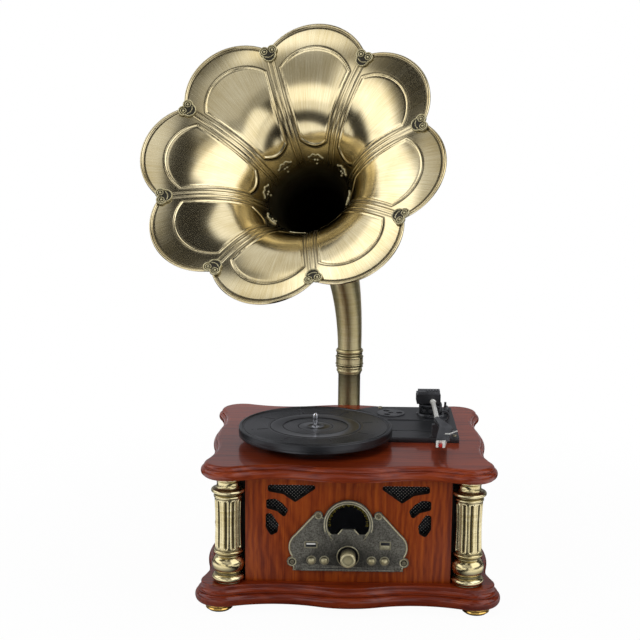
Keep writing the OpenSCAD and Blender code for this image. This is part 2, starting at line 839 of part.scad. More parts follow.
// Fixed disc with the pivot pin, the ear of the cueing lever and the guide of the lift bar
module arm_base() {
  stem = lift_r * [cos(stem_turn), sin(stem_turn)];
  color("#1d1e20") at_arm() difference() {
    union() {
      translate([0, 0, deck_z]) cylinder(r1 = base_disc_r, r2 = base_disc_r - 1, h = 3);
      translate([0, 0, deck_z]) cylinder(r = pivot_r, h = 3 + gap + turret_t);
      translate([stem[0], stem[1], deck_z]) cylinder(r = 4.5, h = 5);
      translate([lever_x[1] + gap, lever_y - 3, deck_z]) cube([2.5, 6, lever_z + 2 - deck_z]);
      bar_x(lever_y, lever_z, lever_x[0], lever_x[1] + 2 * gap - lever_x[0], lever_pin_r);
    }
    translate([stem[0], stem[1], deck_z + 0.8]) cylinder(r = lift_stem_r + run_gap, h = 6);
  }
}

// Swivelling yoke with the tilt pin
module arm_turret() {
  low = deck_z + 3 + gap;
  color("#17181a") at_arm() {
    difference() {
      union() {
        translate([0, 0, low]) cylinder(r = 14, h = turret_t);
        translate([yoke[0], -8, low]) cube([yoke[1] - yoke[0], 16, turret_t]);
      }
      translate([0, 0, low - 1]) cylinder(r = pivot_r + run_gap, h = turret_t + 2);
    }
    for (x = [yoke[0], yoke[1] - cheek_t])
      translate([x, -8, low + turret_t]) cube([cheek_t, 16, hinge_z + 3 - low - turret_t]);
    bar_x(0, hinge_z, yoke[0], yoke[1] - yoke[0], hinge_r);
  }
}

// Tilting block that carries the arm tube and its counterweight
module arm_block() {
  low = arm_z - arm_tube_r - 0.5;
  tongue = [yoke[0] + cheek_t + 0.4, yoke[1] - cheek_t - 0.4];
  color("#202124") at_arm() difference() {
    union() {
      translate([block[0], -13, low]) cube([block[1] - block[0], 24, 13]);
      translate([block[0] + 2, -11, low + 13]) cube([block[1] - block[0] - 4, 20, 3.5]);
      translate([tongue[0], -8, hinge_z - 4]) cube([tongue[1] - tongue[0], 16, low - hinge_z + 4]);
    }
    bar_x(0, hinge_z, tongue[0] - 1, tongue[1] - tongue[0] + 2, hinge_r + run_gap);
    bar_y(0, arm_z, -14, 11, arm_tube_r);
    for (y = [-6, 0]) translate([block[0] + 12, y, low + 15]) cube([17, 3, 3]);
  }
}

module arm_tube() {
  color("#d4d4d0") difference() {
    bar_y(arm_x, arm_z, tube_front - 10, arm_y - 3 - tube_front + 10, arm_tube_r);
    bar_y(arm_x, arm_z, tube_front - 11, arm_y + 10 - tube_front, arm_tube_r - 0.7);
  }
}

// Black sleeve on the tube's end and the angled shell that holds the cartridge
module headshell() {
  color("#2b2c2f") difference() {
    union() {
      bar_y(arm_x, arm_z, tube_front - 18, 18, sleeve_r);
      translate([0, 0, shell_z]) linear_extrude(shell_t) polygon([
        [arm_x - 3.6, tube_front - 14], [arm_x + 3.6, tube_front - 14], [arm_x + 16, -80],
        [arm_x + 8.5, -131], [arm_x - 8, -137], [arm_x, -74]
      ]);
    }
    bar_y(arm_x, arm_z, tube_front - 10, 11, arm_tube_r);
    translate([cart_pos[0], cart_pos[1], shell_z - 1]) rotate([0, 0, -shell_turn])
      translate([-5.6, -8, 0]) cube([11.2, 24, 3]);
  }
}

module cartridge() {
  color("#ecece6") translate([cart_pos[0], cart_pos[1], shell_z]) rotate([0, 0, -shell_turn]) {
    translate([-5.6, -8, -5.2]) cube([11.2, 23.5, 7.2]);
    translate([-5.6, -13, -5.2]) cube([3, 5, 8]);
    translate([2.6, -13, -5.2]) cube([3, 5, 8]);
  }
}

module stylus() {
  color("#c01818") translate([cart_pos[0], cart_pos[1], shell_z]) rotate([0, 0, -shell_turn]) {
    translate([-2.3, -12, -4.6]) cube([4.6, 4, 3.4]);
    translate([0, -10.5, -5.9]) cylinder(r1 = 0.3, r2 = 0.8, h = 1.3);
  }
}

// Thin metal strip for the finger at the side of the shell
module finger_lift() {
  color("#c9c9c4") translate([0, 0, shell_z + shell_t]) linear_extrude(1)
    polygon([
      [arm_x + 4, -118], [arm_x + 9.5, -119], [arm_x + 21, -103], [arm_x + 19.6, -102],
      [arm_x + 9, -115.5], [arm_x + 4, -115]
    ]);
}

// Cueing lever: a round hub on the base's pin with an upright handle
module cue_lever() {
  wide = lever_x[1] - lever_x[0];
  color("#3a3b3d") at_arm() difference() {
    union() {
      bar_x(lever_y, lever_z, lever_x[0], wide, lever_r);
      translate([lever_x[0], lever_y, lever_z]) rotate([20, 0, 0]) translate([0, -1.5, 0])
        cube([3, 3, 11]);
    }
    bar_x(lever_y, lever_z, lever_x[0] - 1, wide + 2, lever_pin_r + run_gap);
  }
}

// Curved bar that raises the arm tube, on a stem that slides in the base
module lift_bar() {
  top = arm_z - arm_tube_r - 0.4;
  stem = lift_r * [cos(stem_turn), sin(stem_turn)];
  color("#2d2e30") at_arm() {
    rotate([0, 0, lift_from]) rotate_extrude(angle = lift_span)
      translate([lift_r - lift_half, top - 2]) square([2 * lift_half, 2]);
    translate([stem[0], stem[1], deck_z + 1.2])
      cylinder(r = lift_stem_r, h = top - 1 - deck_z - 1.2);
  }
}

// Post with a cradle for the arm at rest, and two ears with the latch's pin
module arm_rest() {
  low = deck_z - deck_step;
  cradle = arm_z - sleeve_r - 0.4;
  depth = rest_y[1] - rest_y[0];
  color("#1d1e20") {
    difference() {
      union() {
        translate([arm_x - 7, rest_y[0], low]) cube([15, depth, cradle - low]);
        translate([arm_x - 9, rest_y[0] - 0.8, low]) cube([19, depth + 2, 2.5]);
        translate([arm_x + 4.8, rest_y[0], low]) cube([8, depth, arm_z + 0.5 - low]);
      }
      translate([arm_x + 4, rest_y[0] + rest_slot, arm_z + clip_hinge[1] + gap])
        cube([10, depth - 2 * rest_slot, 10]);
      translate([arm_x + clip_hinge[0] - 3.4, rest_y[0] + rest_slot, arm_z + clip_hinge[1] - 3.6])
        cube([10, depth - 2 * rest_slot, 10]);
    }
    bar_y(arm_x + clip_hinge[0], arm_z + clip_hinge[1], rest_y[0] + 1, depth - 2, clip_pin_r);
  }
}

// Curved latch that closes over the arm; drawn open
module arm_clip() {
  x = arm_x + clip_hinge[0];
  z = arm_z + clip_hinge[1];
  y = rest_y[0] + rest_slot + gap;
  w = rest_y[1] - rest_y[0] - 2 * (rest_slot + gap);
  jaw = [5.2, 7.4];
  color("#2b2c2f") translate([x, y, z]) rotate([0, clip_open, 0])
    translate([-clip_hinge[0], w, -clip_hinge[1]]) rotate([90, 0, 0]) linear_extrude(w)
      difference() {
        union() {
          difference() {
            circle(r = jaw[1]);
            circle(r = jaw[0]);
            polygon([[0, 0], [-20, 3], [-20, -20], [20, -20], [20, -3]]);
          }
          translate(clip_hinge) circle(r = 2.8);
          polygon([[5.3, 0], [5.5, -1.5], clip_hinge + [-1.4, -2.3], clip_hinge + [2.4, 1.4], [7.4, 0]]);
        }
        translate(clip_hinge) circle(r = clip_pin_r + run_gap);
      }
}

// Rim radius of the petals at an angle from the middle of a petal
half_petal = 180 / petals;
petal_c = (pow(tip_r, 2) - pow(notch_r, 2)) / (2 * (tip_r - notch_r * cos(half_petal)));
petal_r = tip_r - petal_c;
function rim_r(a) = petal_c * cos(a) + sqrt(pow(petal_r, 2) - pow(petal_c * sin(a), 2));
function petal_angle(a) = (a + half_petal) % (2 * half_petal) - half_petal;

// Point beside the bell's face at a radius: out along the face, and back behind it
function bell_pt(r, out, back) =
  let (s = flare_slope(r), k = 1 / norm([s, 1]))
    [r + (out + back * s) * k, flare_depth(r) + (back - out * s) * k];

// Section of the bell: the face from the throat to the rim, the rolled bead and the back
function bell_section(rim) =
  let (
    rows = 13,
    throat = flare_r(throat_depth),
    edge = rim - bead_r,
    radii = [for (i = [0 : rows]) throat + (edge - throat) * pow(i / rows, 0.9)],
    skirt = bell_wall * norm([1, 1 / flare_slope(throat)])
  )
  concat(
    [for (r = radii) bell_pt(r, 0, 0)],
    [for (a = [135 : -45 : -135]) bell_pt(rim, bead_r * cos(a), bell_wall / 2 - bead_r * sin(a))],
    [for (i = [rows : -1 : 1]) bell_pt(radii[i], 0, bell_wall)],
    [[throat + skirt, throat_depth]]
  );

module horn_bell() {
  step = half_petal / 6;
  color("#a8935a") at_mouth() rotate([0, 0, horn_roll]) shell([
    for (i = [0 : 12 * petals - 1])
      let (a = i * step)
        [for (p = bell_section(rim_r(petal_angle(a)))) [p[0] * cos(a), p[0] * sin(a), -p[1]]]
  ]);
}

// One ornament in each notch of the rim: two eyes outward and a leaf inward, along the face
module horn_medallions() {
  eye_at = [1.5, 6.3];
  leaf_in = 5.5;
  lean = atan(flare_slope(notch_r));
  color("#8f7c48") at_mouth() for (i = [0 : petals - 1])
    rotate([0, 0, horn_roll + half_petal * (2 * i + 1)])
      translate([notch_r - medallion_in, 0, 0]) rotate([0, -lean, 0]) {
        for (s = [-1, 1]) translate([eye_at[0], eye_at[1] * s, 0])
          cylinder(r = medallion_r, h = medallion_t, $fn = 48);
        translate([-leaf_in, 0, 0]) cylinder(r = medallion_r + 0.5, h = medallion_t - 0.6, $fn = 48);
      }
}

// Tapering neck behind the bell, with the bead that covers the joint
module horn_neck() {
  n = 16;
  joint_r = 2.4;
  joint_depth = throat_depth + 4;
  reach = horn_len - throat_depth;
  depths = [for (i = [0 : n]) throat_depth + reach * i / n];
  color("#9a8650") at_mouth() {
    rotate_extrude() polygon(concat(
      [for (d = depths) [flare_r(d), -d]],
      [for (i = [n : -1 : 0]) [flare_r(depths[i]) + tube_wall, -depths[i]]]
    ));
    rotate_extrude() translate([flare_r(joint_depth) + tube_wall + joint_r - 1, -joint_depth])
      circle(r = joint_r, $fn = 32);
  }
}

// Bent pipe that widens from the collar to the neck
module horn_elbow() {
  rows = 18;
  sides = 32;
  stub = bend_z - tube_top - gap;
  outer = [for (i = [0 : rows]) elbow_r + (neck_r + tube_wall - elbow_r) * pow(i / rows, 1.3)];
  angles = [for (i = [0 : rows]) bend_angle * i / rows];
  color("#9a8650") translate([0, tube_y, bend_z]) rotate([0, 0, -horn_yaw]) shell([
    for (k = [0 : sides - 1])
      let (a = 360 * k / sides)
        concat(
          [elbow_pt(-stub, 0, outer[0] - tube_wall, a)],
          [for (i = [0 : rows]) elbow_pt(0, angles[i], outer[i] - tube_wall, a)],
          [for (i = [rows : -1 : 0]) elbow_pt(0, angles[i], outer[i], a)],
          [elbow_pt(-stub, 0, outer[0], a)]
        )
  ]);
}

// Point on the elbow: turned through the bend, at radius r and angle a round the pipe
function elbow_pt(down, turn, r, a) =
  let (u = r * cos(a), c = elbow_bend * (1 - cos(turn)) + u * cos(turn))
    [r * sin(a), -c, elbow_bend * sin(turn) - u * sin(turn) + down];

// Swivel collar: bored for the lower tube, stepped for the elbow
module horn_collar() {
  main_h = 20.3;
  color("#a8935a") translate([0, tube_y, collar_z]) difference() {
    rotate_extrude() {
      polygon([
        [0, 0], [19, 0], [20.2, 1.2], [20.2, main_h - 1.2], [19, main_h], [18.2, main_h],
        [17.9, main_h + 1], [17.9, collar_h - 1], [17.6, collar_h], [0, collar_h]
      ]);
      translate([16.4, main_h + 4]) circle(r = 3.2, $fn = 48);
      for (z = [4, main_h - 4]) translate([19.4, z]) circle(r = 1.4, $fn = 32);
    }
    translate([0, 0, -1]) cylinder(r = tube_r + run_gap, h = tube_top + gap - collar_z + 1);
    translate([0, 0, tube_top + gap - collar_z]) cylinder(r = elbow_r, h = collar_h);
  }
}

// Lower tube with its fixed bead
module horn_tube() {
  low = pipe_z + pipe_bend;
  color("#9a8650") translate([0, tube_y, 0]) difference() {
    union() {
      translate([0, 0, low]) cylinder(r = tube_r, h = tube_top - low);
      translate([0, 0, collar_z - gap - bead_h]) rotate_extrude() {
        square([tube_r + 1, bead_h]);
        translate([tube_r - 0.6, bead_h / 2]) circle(r = 3.2, $fn = 48);
      }
    }
    translate([0, 0, low - 1]) cylinder(r = tube_r - tube_wall, h = tube_top - low + 2);
  }
}

// Quarter bend from the rear panel up to the tube, with its flange
module tube_bracket() {
  color("#8f7c48") {
    translate([0, tube_y - pipe_bend, pipe_z + pipe_bend]) rotate([0, -90, 0]) rotate([0, 0, -90])
      mirror([1, 0, 0]) mirror([0, 1, 0]) bent_pipe();
    difference() {
      bar_y(0, pipe_z, panel_y, flange_t, flange_r);
      bar_y(0, pipe_z, panel_y - 1, flange_t + 2, tube_r - tube_wall);
      for (a = [45 : 90 : 315])
        bar_y(flange_screw_r * cos(a), pipe_z + flange_screw_r * sin(a), panel_y - 1, flange_t + 2,
          screw_r);
    }
  }
}

module bent_pipe() {
  rotate_extrude(angle = 90) translate([pipe_bend, 0]) difference() {
    circle(r = tube_r);
    circle(r = tube_r - tube_wall);
  }
}

// Compression driver inside the case, behind the tube's mouth
module horn_driver() {
  y = panel_y - panel_t;
  color("#2a2a2a") translate([0, y, pipe_z]) rotate([90, 0, 0]) difference() {
    union() {
      cylinder(r = 24, h = 6);
      cylinder(r = 19, h = 26);
    }
    translate([0, 0, -1]) cylinder(r = tube_r - tube_wall, h = 9);
  }
}

module terminal_plate() {
  color("#161616") difference() {
    translate([term_x - term_w / 2, panel_y, term_z - term_h / 2]) cube([term_w, term_t, term_h]);
    for (x = jack_xs, z = jack_zs)
      bar_y(term_x + x, term_z + z, panel_y - 1, term_t + 2, 3.2);
    translate([term_x + inlet_x - inlet_w / 2, panel_y - 1, term_z + inlet_z - inlet_h / 2])
      cube([inlet_w, term_t + 2, inlet_h]);
    translate([term_x + inlet_x - rocker_box[0] / 2, panel_y - 1, term_z + rocker_z - rocker_box[1] / 2])
      cube([rocker_box[0], term_t + 2, rocker_box[1]]);
    for (s = [-1, 1]) bar_y(term_x + s * (term_w / 2 - 2.5), term_z, panel_y - 1, term_t + 2, screw_r);
  }
}

module audio_jacks() {
  color("#c9b26a") for (x = jack_xs, z = jack_zs) difference() {
    union() {
      bar_y(term_x + x, term_z + z, panel_y + term_t, 8, jack_r - 0.4);
      bar_y(term_x + x, term_z + z, panel_y + term_t, 1.5, jack_r + 1.4);
      bar_y(term_x + x, term_z + z, panel_y - 12, 12 + term_t, 3.2);
    }
    bar_y(term_x + x, term_z + z, panel_y - 2, 14, 1.6);
  }
}

// Two-pin mains inlet: a recess with two contacts
module power_inlet() {
  x = term_x + inlet_x;
  z = term_z + inlet_z;
  color("#101010") difference() {
    union() {
      translate([x - inlet_w / 2, panel_y - 18, z - inlet_h / 2])
        cube([inlet_w, 18 + term_t, inlet_h]);
      translate([x - inlet_w / 2 - 2, panel_y + term_t, z - inlet_h / 2 - 2])
        cube([inlet_w + 4, 1.5, inlet_h + 4]);
    }
    for (s = [-1, 1]) bar_y(x + 3.4 * s, z, panel_y - 12, 20, 3);
    translate([x - 3.4, panel_y - 12, z - 3]) cube([6.8, 20, 6]);
  }
  color("#c0c0c0") for (s = [-1, 1]) bar_y(x + 3.4 * s, z, panel_y - 13, 10, 0.9);
}

// Open box of the mains switch, with bores for the rocker's pins
module switch_housing() {
  box = rocker_box;
  inner = [box[0] - 2 * rocker_wall, box[1] - 2 * rocker_wall];
  face = panel_y + term_t;
  color("#101010") translate([term_x + inlet_x, face, term_z + rocker_z]) difference() {
    translate([-box[0] / 2, -box[2], -box[1] / 2]) cube([box[0], box[2] + 0.8, box[1]]);
    translate([-inner[0] / 2, -box[2] + 2, -inner[1] / 2]) cube([inner[0], box[2], inner[1]]);
    bar_x(-rocker_pin_in, 0, -box[0], 2 * box[0], rocker_pin_r + run_gap);
  }
}

// Rocker of the mains switch with its two pins, drawn in the off position
module power_switch() {
  wide = rocker_box[0] - 2 * rocker_wall - 2 * gap;
  high = rocker_box[1] / 2 - rocker_wall - 1.3;
  pins = rocker_box[0] - 2 * gap;
  color("#1c1c1c")
    translate([term_x + inlet_x, panel_y + term_t - rocker_pin_in, term_z + rocker_z])
      rotate([-rocker_tilt, 0, 0]) {
        rotate([90, 0, 90]) translate([0, 0, -wide / 2]) linear_extrude(wide)
          polygon([
            [-3, -3], [rocker_pin_in, -high], [rocker_pin_in + 3, -high], [rocker_pin_in + 1.2, 0],
            [rocker_pin_in + 3, high], [rocker_pin_in, high], [-3, 3]
          ]);
        bar_x(0, 0, -pins / 2, pins, rocker_pin_r);
      }
}

// Boxed power supply on the base board
module power_supply() {
  color("#3c3c3c") translate([-100, 45, base_t]) {
    cube(supply);
    translate([supply_lid_in, supply_lid_in, supply[2]])
      cube([supply[0] - 2 * supply_lid_in, supply[1] - 2 * supply_lid_in, supply_lid_t]);
  }
}

base_board();
top_board();
front_panel();
rear_panel();
side_panel(-1);  // side_panel_left
side_panel(1);  // side_panel_right
corner_posts();
columns();
feet();
foot_pads();
grille(1);  // grille_left
grille(-1);  // grille_right
speaker(-1);  // speaker_left
speaker(1);  // speaker_right
control_plate();
screws();
dial_lens();
dial_face();
usb_port();
card_slot();
control_board();
volume_pot();
volume_knob();
button(0);  // button_1
button(1);  // button_2
button(2);  // button_3
button(3);  // button_4
deck_plate();
motor();
motor_pulley();
drive_belt();
spindle();
platter();
adapter_45();
arm_base();
arm_turret();
arm_block();
arm_tube();
headshell();
cartridge();
stylus();
finger_lift();
cue_lever();
lift_bar();
arm_rest();
arm_clip();
horn_bell();
horn_medallions();
horn_neck();
horn_elbow();
horn_collar();
horn_tube();
tube_bracket();
horn_driver();
terminal_plate();
audio_jacks();
power_inlet();
switch_housing();
power_switch();
power_supply();
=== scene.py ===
import math
import bmesh
import bpy
import numpy as np
from mathutils import Matrix, Vector


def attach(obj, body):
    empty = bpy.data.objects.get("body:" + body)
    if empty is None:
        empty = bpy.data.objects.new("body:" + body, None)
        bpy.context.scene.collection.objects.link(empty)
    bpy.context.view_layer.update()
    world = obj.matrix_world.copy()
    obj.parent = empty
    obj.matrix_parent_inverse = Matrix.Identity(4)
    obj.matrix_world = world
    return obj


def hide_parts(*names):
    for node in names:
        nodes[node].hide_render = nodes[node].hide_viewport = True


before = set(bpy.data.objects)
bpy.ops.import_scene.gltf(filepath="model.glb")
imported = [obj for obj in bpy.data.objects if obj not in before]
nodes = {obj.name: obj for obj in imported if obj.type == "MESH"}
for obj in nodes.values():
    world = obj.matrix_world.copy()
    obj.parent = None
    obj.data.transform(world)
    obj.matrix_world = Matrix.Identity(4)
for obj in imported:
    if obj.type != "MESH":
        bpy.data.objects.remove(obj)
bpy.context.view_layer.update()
scene = bpy.context.scene
mm = 0.001
print("frame loaded:", len(nodes), "nodes")


# Tools that the pieces share
def toLinear(colour):
    parts = [int(colour[i:i + 2], 16) / 255 for i in (1, 3, 5)]
    return tuple(c / 12.92 if c <= 0.04045 else ((c + 0.055) / 1.055) ** 2.4 for c in parts) + (1.0,)


def addNode(finish, kind, inputs=None, stops=None, **settings):
    node = finish.node_tree.nodes.new(kind)
    for name, value in settings.items():
        setattr(node, name, value)
    for name, value in (inputs or {}).items():
        if isinstance(value, bpy.types.NodeSocket):
            finish.node_tree.links.new(value, node.inputs[name])
        else:
            node.inputs[name].default_value = value
    if stops:
        points = node.color_ramp.elements
        points.remove(points[1])
        for i, (place, colour) in enumerate(stops):
            point = points[0] if i == 0 else points.new(place)
            point.position = place
            point.color = toLinear(colour) if isinstance(colour, str) else (colour, colour, colour, 1)
    return node


def calc(finish, operation, *values):  # arithmetic on sockets and numbers
    return addNode(finish, "ShaderNodeMath", dict(enumerate(values)), operation=operation).outputs[0]


def steer(finish, operation, inputs, part=0):  # arithmetic on vectors
    return addNode(finish, "ShaderNodeVectorMath", inputs, operation=operation).outputs[part]


def ramp(finish, value, low, high, start=0.0, end=1.0, kind="LINEAR"):  # start to end becomes low to high
    return addNode(finish, "ShaderNodeMapRange", {
        "Value": value, "From Min": start, "From Max": end, "To Min": low, "To Max": high},
        interpolation_type=kind).outputs[0]


def noise(finish, vector, size=None, detail=2.0, rough=0.5, sway=0.0, part="Fac"):
    # random pattern with features of this size in mm; without a size, the vector counts them already
    return addNode(finish, "ShaderNodeTexNoise", {
        "Vector": vector, "Scale": 1 / (size * mm) if size else 1.0, "Detail": detail, "Roughness": rough,
        "Distortion": sway}).outputs[part]


def objectPoint(finish):  # the place on the piece, in metres
    return addNode(finish, "ShaderNodeTexCoord").outputs["Object"]


def stretched(finish, vector, *sizes):  # the same place, counted in features of these sizes in mm
    return addNode(finish, "ShaderNodeMapping", {
        "Vector": vector, "Scale": tuple(1 / (s * mm) for s in sizes)}).outputs[0]


def tint(finish, value, *stops):
    return addNode(finish, "ShaderNodeValToRGB", {"Fac": value}, stops=stops).outputs[0]


def blended(finish, first, second, share):
    mix = addNode(finish, "ShaderNodeMix", {0: share}, data_type="RGBA")
    for place, value in ((6, first), (7, second)):
        if isinstance(value, str):
            mix.inputs[place].default_value = toLinear(value)
        else:
            finish.node_tree.links.new(value, mix.inputs[place])
    return mix.outputs[2]


def withPatinaAndShade(finish, colour, filmAndShade):  # the colour under the darkening that the piece's points carry: patina, and painted shade in throats, tube insides and beside parts
    share = addNode(finish, "ShaderNodeAttribute", attribute_name="patina_and_shade").outputs["Fac"]
    return blended(finish, colour, filmAndShade, share), share


def bumped(finish, height, strength, depth, invert=False):  # depth in mm
    return addNode(finish, "ShaderNodeBump", {
        "Height": height, "Strength": strength, "Distance": depth * mm}, invert=invert).outputs[0]


def startFinish(name):
    finish = bpy.data.materials.new(name)
    finish.use_nodes = True
    finish.node_tree.nodes.clear()
    return finish


def endFinish(finish, shader):
    addNode(finish, "ShaderNodeOutputMaterial", {"Surface": shader.outputs[0]})
    return finish


def finishPiece(piece, finish, body, replaced=(), creaseAt=40, filmAndShade=None):
    piece.data.materials.clear()
    piece.data.materials.append(finishes[finish])
    if filmAndShade is not None:
        setPatinaAndShade(piece, filmAndShade)
    if creaseAt is not None:
        piece.data.shade_smooth()
        piece.data.set_sharp_from_angle(angle=math.radians(creaseAt))
        keepFlat(piece)
    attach(piece, body)
    if replaced:
        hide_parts(*replaced)
    return piece


def placed(name, data, place=None):  # an object in the scene for this mesh, lamp or camera
    piece = bpy.data.objects.new(name, data)
    scene.collection.objects.link(piece)
    if place is not None:
        piece.matrix_world = place
    return piece


def meshPiece(name, points, faces, place=None):  # points in mm, in the piece's own place
    mesh = bpy.data.meshes.new(name)
    points = np.asarray(points, float) * mm
    mesh.from_pydata(points.tolist(), [], [tuple(f) for f in faces])
    mesh.validate()
    mesh.update()
    return placed(name, mesh, place)


def openMesh(mesh):
    work = bmesh.new()
    work.from_mesh(mesh)
    return work


def closeMesh(work, mesh):
    work.to_mesh(mesh)
    work.free()
    return mesh


def gridFaces(rows, columns, closeRows=False, closeColumns=False):
    faces = []
    for i in range(rows if closeRows else rows - 1):
        for j in range(columns if closeColumns else columns - 1):
            a, b = i * columns + j, i * columns + (j + 1) % columns
            c, d = (i + 1) % rows * columns + (j + 1) % columns, (i + 1) % rows * columns + j
            faces.append((a, b, c, d))
    return faces


def fullTurn(steps):  # even angles all the way round
    return np.arange(steps) * 2 * math.pi / steps


def lathePoints(profile, sides):
    turn = fullTurn(sides)
    profile = np.asarray(profile, float)
    return np.stack([
        np.outer(profile[:, 0], np.cos(turn)), np.outer(profile[:, 0], np.sin(turn)),
        np.repeat(profile[:, 1:2], sides, axis=1)], axis=-1).reshape(-1, 3)


def lathe(name, profile, sides=96, place=None, closed=False):  # profile: radius and height, upward outside
    points = lathePoints(profile, sides)
    faces = gridFaces(len(profile), sides, closeRows=closed, closeColumns=True)
    piece = meshPiece(name, points, faces, place)
    tidyMesh(piece)
    return piece


def tidyMesh(piece):  # joins points that meet, drops empty faces and turns faces outward
    work = openMesh(piece.data)
    bmesh.ops.remove_doubles(work, verts=work.verts, dist=0.002 * mm)
    bmesh.ops.dissolve_degenerate(work, edges=work.edges, dist=0.001 * mm)
    bmesh.ops.recalc_face_normals(work, faces=work.faces)
    closeMesh(work, piece.data)


def faceOut(piece):
    work = openMesh(piece.data)
    bmesh.ops.recalc_face_normals(work, faces=work.faces)
    closeMesh(work, piece.data)


def bend(x, y, radius, start, end, steps):  # points on an arc, angles in degrees
    return [(x + radius * math.cos(math.radians(start + (end - start) * i / steps)),
             y + radius * math.sin(math.radians(start + (end - start) * i / steps)))
            for i in range(steps + 1)]


def sweep(name, path, section, up, closed=True, scales=None, place=None):
    # path: points in mm; section: sideways and outward offsets; up: the outward direction, or one per point
    path = np.asarray(path, float)
    count = len(path)
    ups = np.asarray(up, float)
    ups = np.tile(ups, (count, 1)) if ups.ndim == 1 else ups
    if closed:
        along = np.roll(path, -1, 0) - np.roll(path, 1, 0)
    else:
        along = np.gradient(path, axis=0)
    along /= np.linalg.norm(along, axis=1)[:, None]
    side = np.cross(along, ups)
    side /= np.linalg.norm(side, axis=1)[:, None]
    section = np.asarray(section, float)
    scales = np.ones(count) if scales is None else np.asarray(scales, float)
    points = (path[:, None, :] + side[:, None, :] * (section[None, :, 0:1] * scales[:, None, None])
              + ups[:, None, :] * (section[None, :, 1:2] * scales[:, None, None])).reshape(-1, 3)
    faces = gridFaces(count, len(section), closeRows=closed, closeColumns=True)
    if not closed:
        faces += [tuple(range(len(section))), tuple(range((count - 1) * len(section), count * len(section)))]
    piece = meshPiece(name, points, faces, place)
    tidyMesh(piece)
    return piece


def joined(name, pieces, place=None):  # makes one piece of several
    work = bmesh.new()
    for piece in pieces:
        part = piece.data.copy()
        part.transform(piece.matrix_world if place is None else place.inverted() @ piece.matrix_world)
        work.from_mesh(part)
        bpy.data.meshes.remove(part)
        bpy.data.objects.remove(piece)
    return placed(name, closeMesh(work, bpy.data.meshes.new(name)), place)


def applyModifiers(piece):
    bpy.context.view_layer.update()
    ready = piece.evaluated_get(bpy.context.evaluated_depsgraph_get())
    mesh = bpy.data.meshes.new_from_object(ready)
    piece.modifiers.clear()
    piece.data = mesh


def boxPiece(name, low, high, rounding=0.4, place=None):  # block with rounded edges, corners in mm
    work = bmesh.new()
    bmesh.ops.create_cube(work, size=1)
    for v in work.verts:
        v.co = Vector([(low[i] + high[i]) / 2 + v.co[i] * (high[i] - low[i]) for i in range(3)]) * mm
    bmesh.ops.bevel(work, geom=work.edges[:] + work.verts[:], offset=rounding * mm, segments=3,
                    profile=0.5, affect="EDGES", clamp_overlap=True)
    return placed(name, closeMesh(work, bpy.data.meshes.new(name)), place)


def softCopy(node, width=0.4, turn=32):  # copy of a CAD node with rounded edges
    work = openMesh(nodes[node].data)
    bmesh.ops.remove_doubles(work, verts=work.verts, dist=0.003 * mm)
    bmesh.ops.dissolve_limit(work, angle_limit=math.radians(1.2), verts=work.verts, edges=work.edges)
    piece = placed(node + "_soft", closeMesh(work, nodes[node].data.copy()))
    edge = piece.modifiers.new("edge", "BEVEL")
    edge.width = width * mm
    edge.segments = 2
    edge.limit_method = "ANGLE"
    edge.angle_limit = math.radians(turn)
    edge.use_clamp_overlap = True
    edge.harden_normals = False
    applyModifiers(piece)
    return piece


def keepFlat(piece):  # many-sided faces are planes, so they are shaded as planes
    for face in piece.data.polygons:
        if len(face.vertices) > 6:
            face.use_smooth = False


def backLoops(node, axis, level):  # outlines of a CAD node's flat face at this level, in mm
    work = openMesh(nodes[node].data)
    bmesh.ops.remove_doubles(work, verts=work.verts, dist=0.003 * mm)
    flat = [f for f in work.faces if all(abs(v.co[axis] / mm - level) < 0.01 for v in f.verts)]
    inside = set(flat)
    rim = {}
    for f in flat:
        for loop in f.loops:
            others = [g for g in loop.edge.link_faces if g in inside]
            if len(others) == 1:
                rim[loop.vert.index] = loop.link_loop_next.vert.index
    work.verts.ensure_lookup_table()
    loops = []
    while rim:
        first = next(iter(rim))
        ring, corner = [], first
        while corner in rim:
            ring.append(tuple(c / mm for c in work.verts[corner].co))
            corner = rim.pop(corner)
        loops.append(ring)
    work.free()
    return sorted(loops, key=len, reverse=True)


def evenPath(points, step, closed=True):  # the same line with points at even distances
    points = np.asarray(points, float)
    ring = np.vstack([points, points[:1]]) if closed else points
    lengths = np.concatenate([[0], np.cumsum(np.linalg.norm(np.diff(ring, axis=0), axis=1))])
    count = max(8, int(lengths[-1] / step))
    marks = np.linspace(0, lengths[-1], count, endpoint=not closed)
    return np.stack([np.interp(marks, lengths, ring[:, i]) for i in range(3)], axis=-1)


def spin(degrees, axis="Z"):
    return Matrix.Rotation(math.radians(degrees), 4, axis)


def at(x, y, z, turn=0):
    return Matrix.Translation(Vector((x, y, z)) * mm) @ spin(turn)


def facingFront(x, y, z):  # local Z looks out of the front, local Y is up
    return at(x, y, z) @ spin(90, "X")


def near(distance, width):  # 1 on the line, fading beside it
    return np.exp(-(distance / width) ** 2)


def largest(value, *others):  # the largest of several values at each point
    for other in others:
        value = np.maximum(value, other)
    return value


def pointsOf(piece):  # in mm, in the piece's own place
    return np.array([v.co for v in piece.data.vertices]) / mm


def halfRound(width, height, steps=8):
    return [(-width / 2 * math.cos(math.pi * i / steps), height * math.sin(math.pi * i / steps))
            for i in range(steps + 1)]


def setPatinaAndShade(piece, filmAndShade):  # darkening of patina and painted shade, one value or one per point, read by the finishes
    layer = piece.data.attributes.new("patina_and_shade", "FLOAT", "POINT")
    values = np.broadcast_to(np.asarray(filmAndShade, np.float32), len(piece.data.vertices))
    layer.data.foreach_set("value", np.ascontiguousarray(values))


